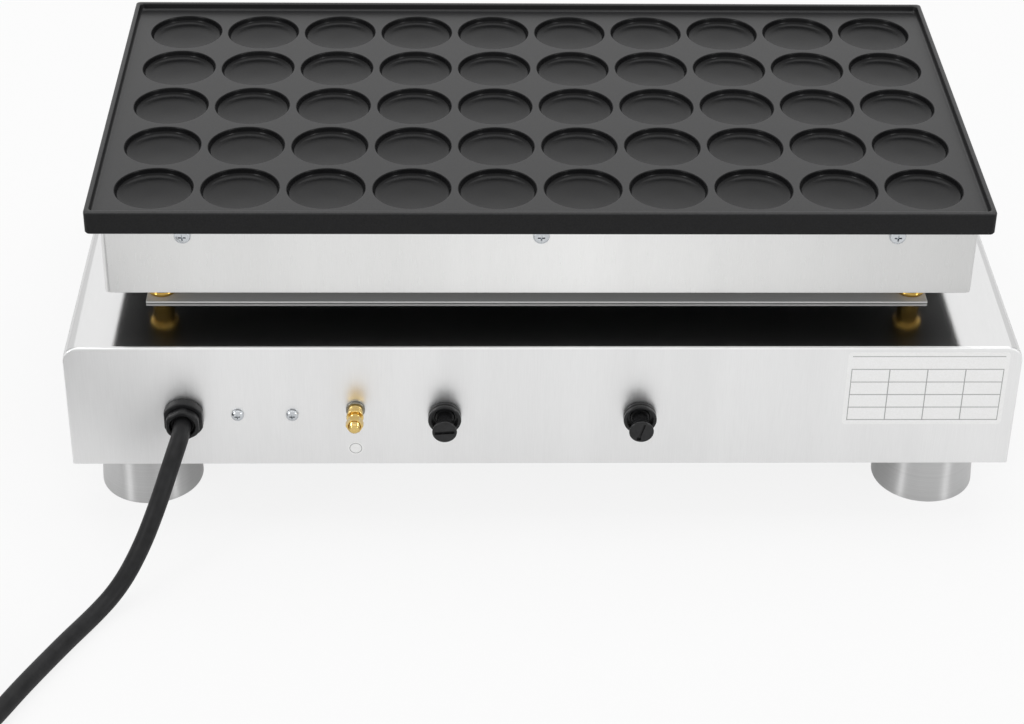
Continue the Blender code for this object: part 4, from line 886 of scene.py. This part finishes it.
black_nylon = moulded("moulded_black_polyamide", "#202021", "#161617", 0.34, specular_ior_level=0.3)
gloss_black = moulded("moulded_gloss_black_phenolic", "#252526", "#1c1c1d", 0.22, relief=0.03,
                      specular_ior_level=0.3)
seal_rubber = moulded("moulded_black_seal_rubber", "#101010", "#0a0a0a", 0.6, specular_ior_level=0.2)
plug_rubber = moulded("moulded_black_plug_rubber", "#1f1f20", "#171718", 0.48, 0.5 * MM, 0.15,
                      specular_ior_level=0.25)
knob_black = moulded("moulded_satin_black_knob", "#1b1b1c", "#131314", 0.3, 0.4 * MM, 0.1,
                     specular_ior_level=0.4)

# %% [markdown]
# ## Cable gland
# A polyamide gland holds the lead: a round flange with two flats for the spanner lies on the panel,
# and a smaller nut with six soft flats squeezes a rubber seal round the lead. The flange is turned
# and cut flat by a box. The nut is a prism whose upright edges are rounded first and its rims after.
# Its opening stays open, so the seal lies in shadow.

# %% Gland
fitting_z = 73.8 * MM
flange = lathe("gland_flange", [(0, 0.3), (11.7, 0.3), (11.7, 5.5), (0, 5.5)], 96)
cut_with(flange, solid("box", "flats_tool", (0, 0, 2), (21.3, 30, 10)), "INTERSECT")
round_edges(flange, 0.7 * MM, 3, 60)
stem_profile = [(0, -12), (7.5, -12), (7.9, -11.6), (7.9, 3), (7.4, 3), (7.4, 7.3), (7.2, 7.5), (5.6, 7.5),
                (5.6, 3.5), (0, 3.5)]
cut_with(flange, lathe("gland_stem", stem_profile), "UNION")
nut_middle_z = 8.3
nut = solid("prism", "gland_clamp_nut", (0, 0, nut_middle_z), radius=10.5, depth=5)
pick(nut, lambda p: abs(p.z - nut_middle_z * MM) < 1e-6, "EDGE")
bpy.ops.mesh.bevel(offset=2.8 * MM, segments=6, affect="EDGES")
mode("OBJECT")
round_edges(nut, 0.8 * MM, 4, 60)
bore_profile = [(0, 5), (7.7, 5), (7.7, 7.9), (6.9, 8.4), (6.9, 10.1), (7.3, 10.7), (7.8, 11.2), (7.8, 12),
                (0, 12)]
cut_with(nut, lathe("gland_bore_tool", bore_profile))
seal_profile = [(5.15, 7.7), (6.8, 7.7), (6.8, 8.5), (6.5, 8.8), (5.6, 8.8), (5.15, 8.4), (5.15, 7.7)]
seal = lathe("gland_seal", seal_profile)
gland_place = (gland_x, rear_face, fitting_z)
on_panel(flange, *gland_place, black_nylon, "gland_body", slot="nylon")
on_panel(nut, *gland_place, black_nylon, "gland_nut", slot="nylon")
on_panel(seal, *gland_place, seal_rubber)
print("gland", len(flange.data.polygons) + len(nut.data.polygons), "faces")

# %% [markdown]
# ## Earth terminal
# A brass stud for the equal-potential wire. From the panel outwards it has a plain steel-coloured
# washer, a sleeve, a ring and a hexagon nut, and its end is domed. The thread is cut as rings and not
# as a helix, because at 0.7 mm pitch nobody can tell. The nut is a prism cut with a turned cone, so
# that its corners are chamfered as on any drawn nut.

# %% Earth terminal
earth_place = (-105 * MM, rear_face, 78.1 * MM)
washer_steel = turned_metal("stamped_nickel_plated_washer", "#9a978c", "#827f75", 0.3, "Y", 0.5 * MM)
washer_profile = [(0, 0.3), (5.0, 0.3), (5.3, 0.6), (5.3, 1.5), (5.1, 1.8), (0, 1.8)]
thread = []
for ring in range(14):
    start = 8.9 + 0.7 * ring
    thread += [(2.98, start), (2.98, start + 0.1), (2.66, start + 0.35), (2.66, start + 0.45)]
stud_profile = [(0, -15.5), (3, -15.5), (3, 1.8), (4.3, 1.85), (4.3, 3.2), (4.1, 3.5), (4.1, 3.7),
                (4.3, 4.0), (4.3, 5.4), (4.1, 5.6), (4.1, 5.8), (4.3, 6.1), (4.3, 6.9), (4.5, 7.0),
                (4.8, 7.2), (4.8, 8.1), (4.6, 8.5), (2.98, 8.6)] + thread + [
                    (2.98, 18.75), (2.8, 19.2), (2.3, 19.6), (1.5, 19.85), (0.7, 19.97), (0, 20)]
on_panel(lathe("earth_washer", washer_profile), *earth_place, washer_steel)
on_panel(lathe("earth_stud_turned", stud_profile), *earth_place, brass_fitting, "earth_stud", slot="brass")
across_flats = 8.5
hexagon = solid("prism", "earth_nut_chamfered", (0, 0, 14.25), depth=4.5,
                radius=across_flats / math.cos(math.radians(30)) / 2)
chamfer = [(2.95, 11.9), (4.1, 12.0), (5.2, 12.6), (5.2, 15.9), (4.1, 16.5), (3.6, 16.5), (3.2, 16.2),
           (3.1, 15.9), (3.1, 12.3), (2.95, 11.9)]
cut_with(hexagon, lathe("nut_cone_tool", chamfer, 64), "INTERSECT")
on_panel(hexagon, *earth_place, brass_fitting, "earth_nut", turn=30, slot="brass")

# %% [markdown]
# ## Fuse holders
# Two phenolic holders stand in the panel. Each has a bezel of two stacked rings with a groove between
# them and a wide mouth. The cap's neck flares out to a flat face with a screwdriver slot, and it
# draws the fuse out with it. One cap's slot is almost level; the other's is turned, narrower, and has
# a small notch at its lower end.

# %% Fuse holders and caps
holder_profile = [(0, -36), (7.4, -36), (7.6, -35.8), (7.6, 0.3), (8.9, 0.3), (9.2, 0.5), (9.3, 0.8),
                  (9.3, 2.0), (9.15, 2.35), (8.8, 2.5), (8.7, 2.75), (8.8, 3.0), (9.15, 3.15), (9.3, 3.5),
                  (9.3, 4.7), (9.2, 5.15), (8.85, 5.45), (8.4, 5.5), (7.8, 5.5), (7.5, 5.35), (7.4, 5.0),
                  (7.4, 2.0), (5.8, 2.0), (5.8, -34), (0, -34)]
flare = [(6.9 - 2.5 * (s / 10) ** 0.8, 15.6 - 9.6 * s / 10) for s in range(10, -1, -1)]
cap_profile = [(0, -6), (5.2, -6), (5.4, -5.8), (5.4, 2.3), (5.2, 2.5), (4.4, 2.5)] + flare + [
    (6.85, 16.0), (6.6, 16.35), (6.2, 16.5), (0, 16.5)]
holder = lathe("fuse_holder_turned_1", holder_profile, 80)
caps = family(lathe("fuse_cap_turned_1", cap_profile, 80), 2)
fuse_rows = zip(family(holder, 2), caps, (-55.29 * MM, 53.89 * MM), (4, 73), (2.2, 1.4))
for number, (piece, cap, x, turn, slot_width) in enumerate(fuse_rows, start=1):
    slot_tool = solid("box", "slot_tool", (0, 0, 16.2), (11, slot_width, 1.8))
    if number == 2:
        cut_with(slot_tool, solid("box", "notch_tool", (-4.4, 0, 16.2), (2.0, 2.3, 1.8)), "UNION")
    slot_tool.rotation_euler = (0, 0, math.radians(turn))
    cut_with(cap, slot_tool)
    on_panel(piece, x, rear_face, fitting_z, gloss_black, f"fuse_holder_{number}", slot="bakelite")
    on_panel(cap, x, rear_face, fitting_z, gloss_black, f"fuse_cap_{number}",
             body=f"fuse_cap_{number}_body", slot="bakelite")
print("fuse caps", [len(cap.data.polygons) for cap in caps])

# %% [markdown]
# ## Rating label and earth disc
# Low at the right of the rear panel sits a white film label, ruled in grey into a heading and four
# rows of four fields, which stay empty. Below the earth terminal is a small round film disc with a
# grey ring. Both are 0.15 mm thick with rounded corners and slightly glossy.

# %% Label and disc
label_x, label_z, disc_x, disc_z = 212.9, 91.9, -105.4, 51.0


def film(name, mask):
    """White printed film; the mask draws its grey lines from X and Z."""
    material, place = new_material(name, roughness=0.38)
    xyz = add_node(material.node_tree, "ShaderNodeSeparateXYZ", {"Vector": place}).outputs
    fibre = noise(place, 0.8 * MM, 3.0)
    paper = shades(fibre, (0.3, "#f3f3f2"), (0.7, "#fafafa"))
    inks = {"Fac": mask(xyz["X"], xyz["Z"]), "Color1": paper, "Color2": linear("#a3a3a3")}
    mixed = add_node(material.node_tree, "ShaderNodeMixRGB", inks)
    return finish(material, mixed.outputs["Color"], bumped(fibre, 0.06))


def near(value, middle, reach):
    """1 within that reach of the middle, in mm, and 0 elsewhere."""
    return maths("LESS_THAN", maths("ABSOLUTE", maths("SUBTRACT", value, middle * MM)), reach * MM)


def rules(value, start, half_gap):
    """1 on thin lines that are twice the half gap apart, in mm."""
    away = maths("PINGPONG", maths("SUBTRACT", value, start * MM), half_gap * MM)
    return maths("LESS_THAN", away, 0.28 * MM)


def ruled(x, z):
    """Level rules every 8.6 mm and, below the heading, upright ones every 21.2 mm."""
    upright = maths("MULTIPLY", rules(x, 170.5, 10.6), maths("LESS_THAN", z, 105 * MM))
    inside = maths("MULTIPLY", near(x, label_x, 42.6), near(z, 92, 21.8))
    return maths("MULTIPLY", maths("MAXIMUM", rules(z, 70.6, 4.3), upright), inside)


def ringed(x, z):
    """One fine ring round the disc's middle."""
    away = [maths("SUBTRACT", x, disc_x * MM), maths("SUBTRACT", z, disc_z * MM)]
    return near(maths("SQRT", maths("ADD", *[maths("MULTIPLY", side, side) for side in away])), 3.35, 0.2)


def flat_on_panel(name, x, z, width, height, corner, material):
    """A film with rounded corners on the rear panel, in mm."""
    middle_y = rear_face / MM - 0.08
    piece = solid("box", name, (x, middle_y, z), (width, 0.15, height))
    pick(piece, lambda p: abs(p.y - middle_y * MM) < 1e-7, "EDGE")
    bpy.ops.mesh.bevel(offset=corner * MM, segments=8, affect="EDGES")
    mode("OBJECT")
    return hand_over(piece, material)


flat_on_panel("rating_label", label_x, label_z, 90, 49, 2.2, film("printed_white_film_label", ruled))
flat_on_panel("earth_disc", disc_x, disc_z, 8.8, 8.8, 4.39, film("printed_white_film_disc", ringed))

# %% [markdown]
# ## Front controls
# The front side isn't in the photograph. It has a thermostat and a timer with satin black knobs, each
# over a printed scale, and two neon lamps. The knob is turned with a skirt and a grip, eight finger
# flutes are cut into the grip, and a groove with white paint points to the scale. It is made once
# and copied. The scales are thin printed bars, one bar turned round the shaft, without figures.

# %% Knobs and scales
control_x, control_z = 125.08 * MM, 80 * MM
knob_profile = [(0, 0.8), (19.6, 0.8), (20.0, 1.2), (20.0, 3.6), (19.6, 4.3), (18.6, 4.7), (16.6, 4.9),
                (15.9, 5.2), (15.5, 5.9), (14.6, 20.6), (14.2, 21.4), (13.4, 21.9), (12.6, 22.0),
                (11.4, 22.0), (11.1, 21.7), (10.8, 21.6), (0, 21.6)]
knob = lathe("control_knob_1", knob_profile, 96)
flute = solid("prism", "flute_tool", (16.6, 0, 15), sides=24, radius=2.3, depth=19.0)
bpy.ops.transform.rotate(value=math.radians(22.5), orient_axis="Z", center_override=(0, 0, 0))
freeze()
cut_with(knob, around(flute, 8))
cut_with(knob, solid("box", "pointer_tool", (0, -10, 22), (1.8, 14, 1.6)))
round_edges(knob, 0.15 * MM)
knobs = family(knob, 2)
white_paint = moulded("filled_white_pointer_paint", "#f4f4f1", "#e9e9e6", 0.45)
bar = solid("box", "scale_bar", (0, -24.2, 0.06), (0.7, 3.2, 0.1))
bars = [copy_of(bar, f"scale_bar_{i}", turn=(0, 0, angle)) for i, angle in enumerate(range(-135, 136, 27))]
bpy.data.objects.remove(bar, do_unlink=True)
only(*bars)
bpy.ops.object.join()
scales = [bars[0], copy_of(bars[0], "timer_scale")]
scales[0].name = "thermostat_scale"
scale_ink = moulded("screen_printed_dark_grey_ink", "#3d3d3e", "#333334", 0.5, 0.5 * MM)


def in_pointer(p):
    """True for the floor of the pointer's groove."""
    return abs(p.x) < 0.95 * MM and p.y < -3 * MM and 20.9 * MM < p.z < 21.5 * MM


controls = zip(knobs, scales, (control_x, -control_x), ("thermostat", "timer"))
for piece, scale, x, name in controls:
    paint(piece, knob_black, white_paint, in_pointer)
    on_panel(piece, x, front_face, control_z, None, f"{name}_knob", side=-1, body=f"{name}_dial",
             slot="knob")
    on_panel(scale, x, front_face, control_z, scale_ink, side=-1)
print("knob", len(knob.data.polygons), "faces")

# %% [markdown]
# ### Signal lamps
# A neon lamp sits in a chromed ring under a domed polycarbonate lens, green for mains and red for
# heating. The lens lets part of the light through, and fine spots in its tint break it up.

# %% Lamps
chrome_ring = turned_metal("chrome_plated_brass_ring", "#e3e5e7", "#d5d8da", 0.1, "Y", 0.5 * MM)


def lens_plastic(name, light, dark):
    """Tinted, partly clear plastic with a finely spotted tint."""
    material, place = new_material(name, roughness=0.1, transmission_weight=0.35, ior=1.58)
    spots = noise(place, 1.1 * MM)
    return finish(material, shades(spots, (0.3, dark), (0.7, light)), bumped(spots, 0.1))


def in_chrome(p):
    """True for the visible ring round the lens."""
    return 0.2 * MM < p.z < 1.55 * MM and math.hypot(p.x, p.y) > 5.05 * MM


lens_profile = [(0, -24), (4.8, -24), (5.0, -23.8), (5.0, 0.3), (6.2, 0.3), (6.5, 0.6), (6.5, 1.0),
                (6.2, 1.45), (5.5, 1.5), (5.1, 1.6)]
lens_profile += [(5.0 * math.cos(math.radians(a)), 2.2 + 4.8 * math.sin(math.radians(a)))
                 for a in range(0, 90, 10)] + [(0, 7.0)]
lenses = [("power_lamp", "green", "#2f8f45", "#1f7a36"), ("heating_lamp", "red", "#c22a20", "#a81c14")]
for piece, (node, tint, light, dark) in zip(family(lathe("signal_lamp_1", lens_profile, 64), 2), lenses):
    lens = lens_plastic(f"moulded_{tint}_polycarbonate_lens", light, dark)
    paint(piece, lens, chrome_ring, in_chrome)
    on_panel(piece, middle_of(node).x, front_face, control_z, None, node, side=-1, slot=f"{tint}_lens")

# %% [markdown]
# ## Plug and tie
# The lead ends in a moulded round plug with two pins: a ribbed sleeve round the lead, a
# waist for the fingers with ten shallow grips, and a flat face. The body is turned and the grips are
# cut with one tool copied round it. The pins are turned brass with a nickel plating. The tie round
# the coil is a flat rubber strap: a rounded outline, pulled up to its width and given a thickness.

# %% Plug
plug_profile = [(0, 0.3), (5.9, 0.3), (6.3, 0.7), (6.3, 1.7), (5.7, 2.0), (5.7, 3.0), (6.6, 3.3), (6.6, 4.5),
                (6.0, 4.8), (6.0, 5.8), (7.0, 6.1), (7.0, 7.3), (6.4, 7.6), (6.4, 8.6), (7.5, 8.9),
                (7.8, 9.5), (7.8, 12.6), (8.4, 13.6), (10.0, 14.6), (11.6, 17), (13.2, 20.5), (14.3, 24),
                (14.8, 28), (14.9, 36.4), (15.2, 37.6), (15.8, 38.4), (15.8, 45.2), (15.6, 45.9),
                (15.0, 46.3), (0, 46.3)]
plug_body = lathe("mains_plug_body", plug_profile, 80)
grip = solid("prism", "grip_tool", (17.2, 0, 29), sides=24, radius=3.1, depth=15.0)
cut_with(plug_body, around(grip, 10))
round_edges(plug_body, 0.3 * MM)
on_panel(plug_body, *coil[-1], plug_rubber, "plug", side=-1)
pin_profile = [(0, 45.8), (2.4, 45.8), (2.4, 63.4), (2.1, 64.5), (1.4, 65.1), (0, 65.3)]
pins = family(lathe("mains_plug_pin_1", pin_profile, 32), 2)
pin_nickel = turned_metal("nickel_plated_brass_pin", "#d9d4c6", "#c6c1b2", 0.16)
for piece, side in zip(pins, (-1, 1)):
    on_panel(piece, coil[-1].x + side * 9.5 * MM, coil[-1].y, coil[-1].z, pin_nickel, side=-1)

# %% Tie
start_fresh()
tie_angle = math.radians(108)
inner_r, outer_r, tie_low, tie_high = 38.3 * MM, 66.0 * MM, 0.8 * MM, 21.9 * MM
bpy.ops.mesh.primitive_plane_add(size=1, location=(0, 0, 0))
tie = bpy.context.object
tie.name = "coil_strap"
mode("EDIT")
bpy.ops.transform.resize(value=(outer_r - inner_r, tie_high - tie_low, 1), center_override=(0, 0, 0))
bpy.ops.mesh.bevel(offset=5.2 * MM, segments=10, affect="VERTICES")
bpy.ops.mesh.delete(type="ONLY_FACE")
bpy.ops.mesh.select_all(action="SELECT")
extrude(0, 0, 12 * MM)
face_outwards()
mode("OBJECT")
modify(tie, "SOLIDIFY", thickness=0.55 * MM, offset=1.0)
tie.data.transform(Matrix.Translation((0, 0, -6 * MM)))
tie_middle = (inner_r + outer_r) / 2
tie.location = (coil_centre[0] + tie_middle * math.cos(tie_angle),
                coil_centre[1] + tie_middle * math.sin(tie_angle), (tie_low + tie_high) / 2)
tie.rotation_euler = (math.radians(90), 0, tie_angle)
freeze()
round_edges(tie, 0.12 * MM)
hand_over(tie, seal_rubber, "cord_tie")
print("plug and tie", len(plug_body.data.polygons) + len(tie.data.polygons), "faces")

# %% [markdown]
# ## Inside the machine
# What lies behind the sheet keeps its plain solids, because their shape is right and a camera sees
# them only when a part is hidden. Each still gets the surface that it has in life: sheathed heating
# rods with a matt, heat-coloured skin, a fibre mat, zinc-plated bars, moulded control cases, a copper
# bulb and its thin tube, glazed ceramic terminals and the glass of the fuses.

# %% Materials inside
element_skin = turned_metal("annealed_heating_rod_sheath", "#7d766c", "#5e5850", 0.42, "X", 1.2 * MM, 0.1)
bar_zinc = brushed_steel("zinc_plated_bar", "#c9ccce", "#b4b8bb", 0.34, along="Y")
fibre_mat = moulded("pressed_ceramic_fibre_mat", "#e8e4da", "#cfc9bb", 0.85, 1.0 * MM, 0.6)
copper_bulb = turned_metal("drawn_copper_bulb", "#c98a66", "#b27350", 0.28, "X", 0.8 * MM)
case_plastic = moulded("moulded_brown_phenolic_case", "#4a362a", "#382820", 0.4)
terminal_ceramic = moulded("glazed_ceramic_terminal", "#efece4", "#e2ded3", 0.22, 0.8 * MM)
nut_brass = turned_metal("milled_brass_nut", "#d9b968", "#c7a350", 0.25, "Z", 0.5 * MM)
fuse_glass = moulded("fuse_glass_tube", "#dfe6e4", "#cfd8d5", 0.08, transmission_weight=0.4)
inside = {"heating_element": element_skin, "clamp_bar": bar_zinc, "clamp_screw": zinc_plate,
          "insulation_mat": fibre_mat, "thermostat_probe": copper_bulb, "thermostat": case_plastic,
          "timer": case_plastic, "terminal_block": terminal_ceramic, "gland_locknut": black_nylon,
          "fuse_nut": black_nylon, "fuse_link": fuse_glass, "standoff_nut": nut_brass}
for name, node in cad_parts.items():
    for start in sorted(inside, key=len, reverse=True):
        if name.startswith(start) and not name.endswith("knob"):
            paint(node, inside[start])
            break

# %% Size of the finished model
low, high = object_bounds()
print("finished from", [round(v, 4) for v in low], "to", [round(v, 4) for v in high])
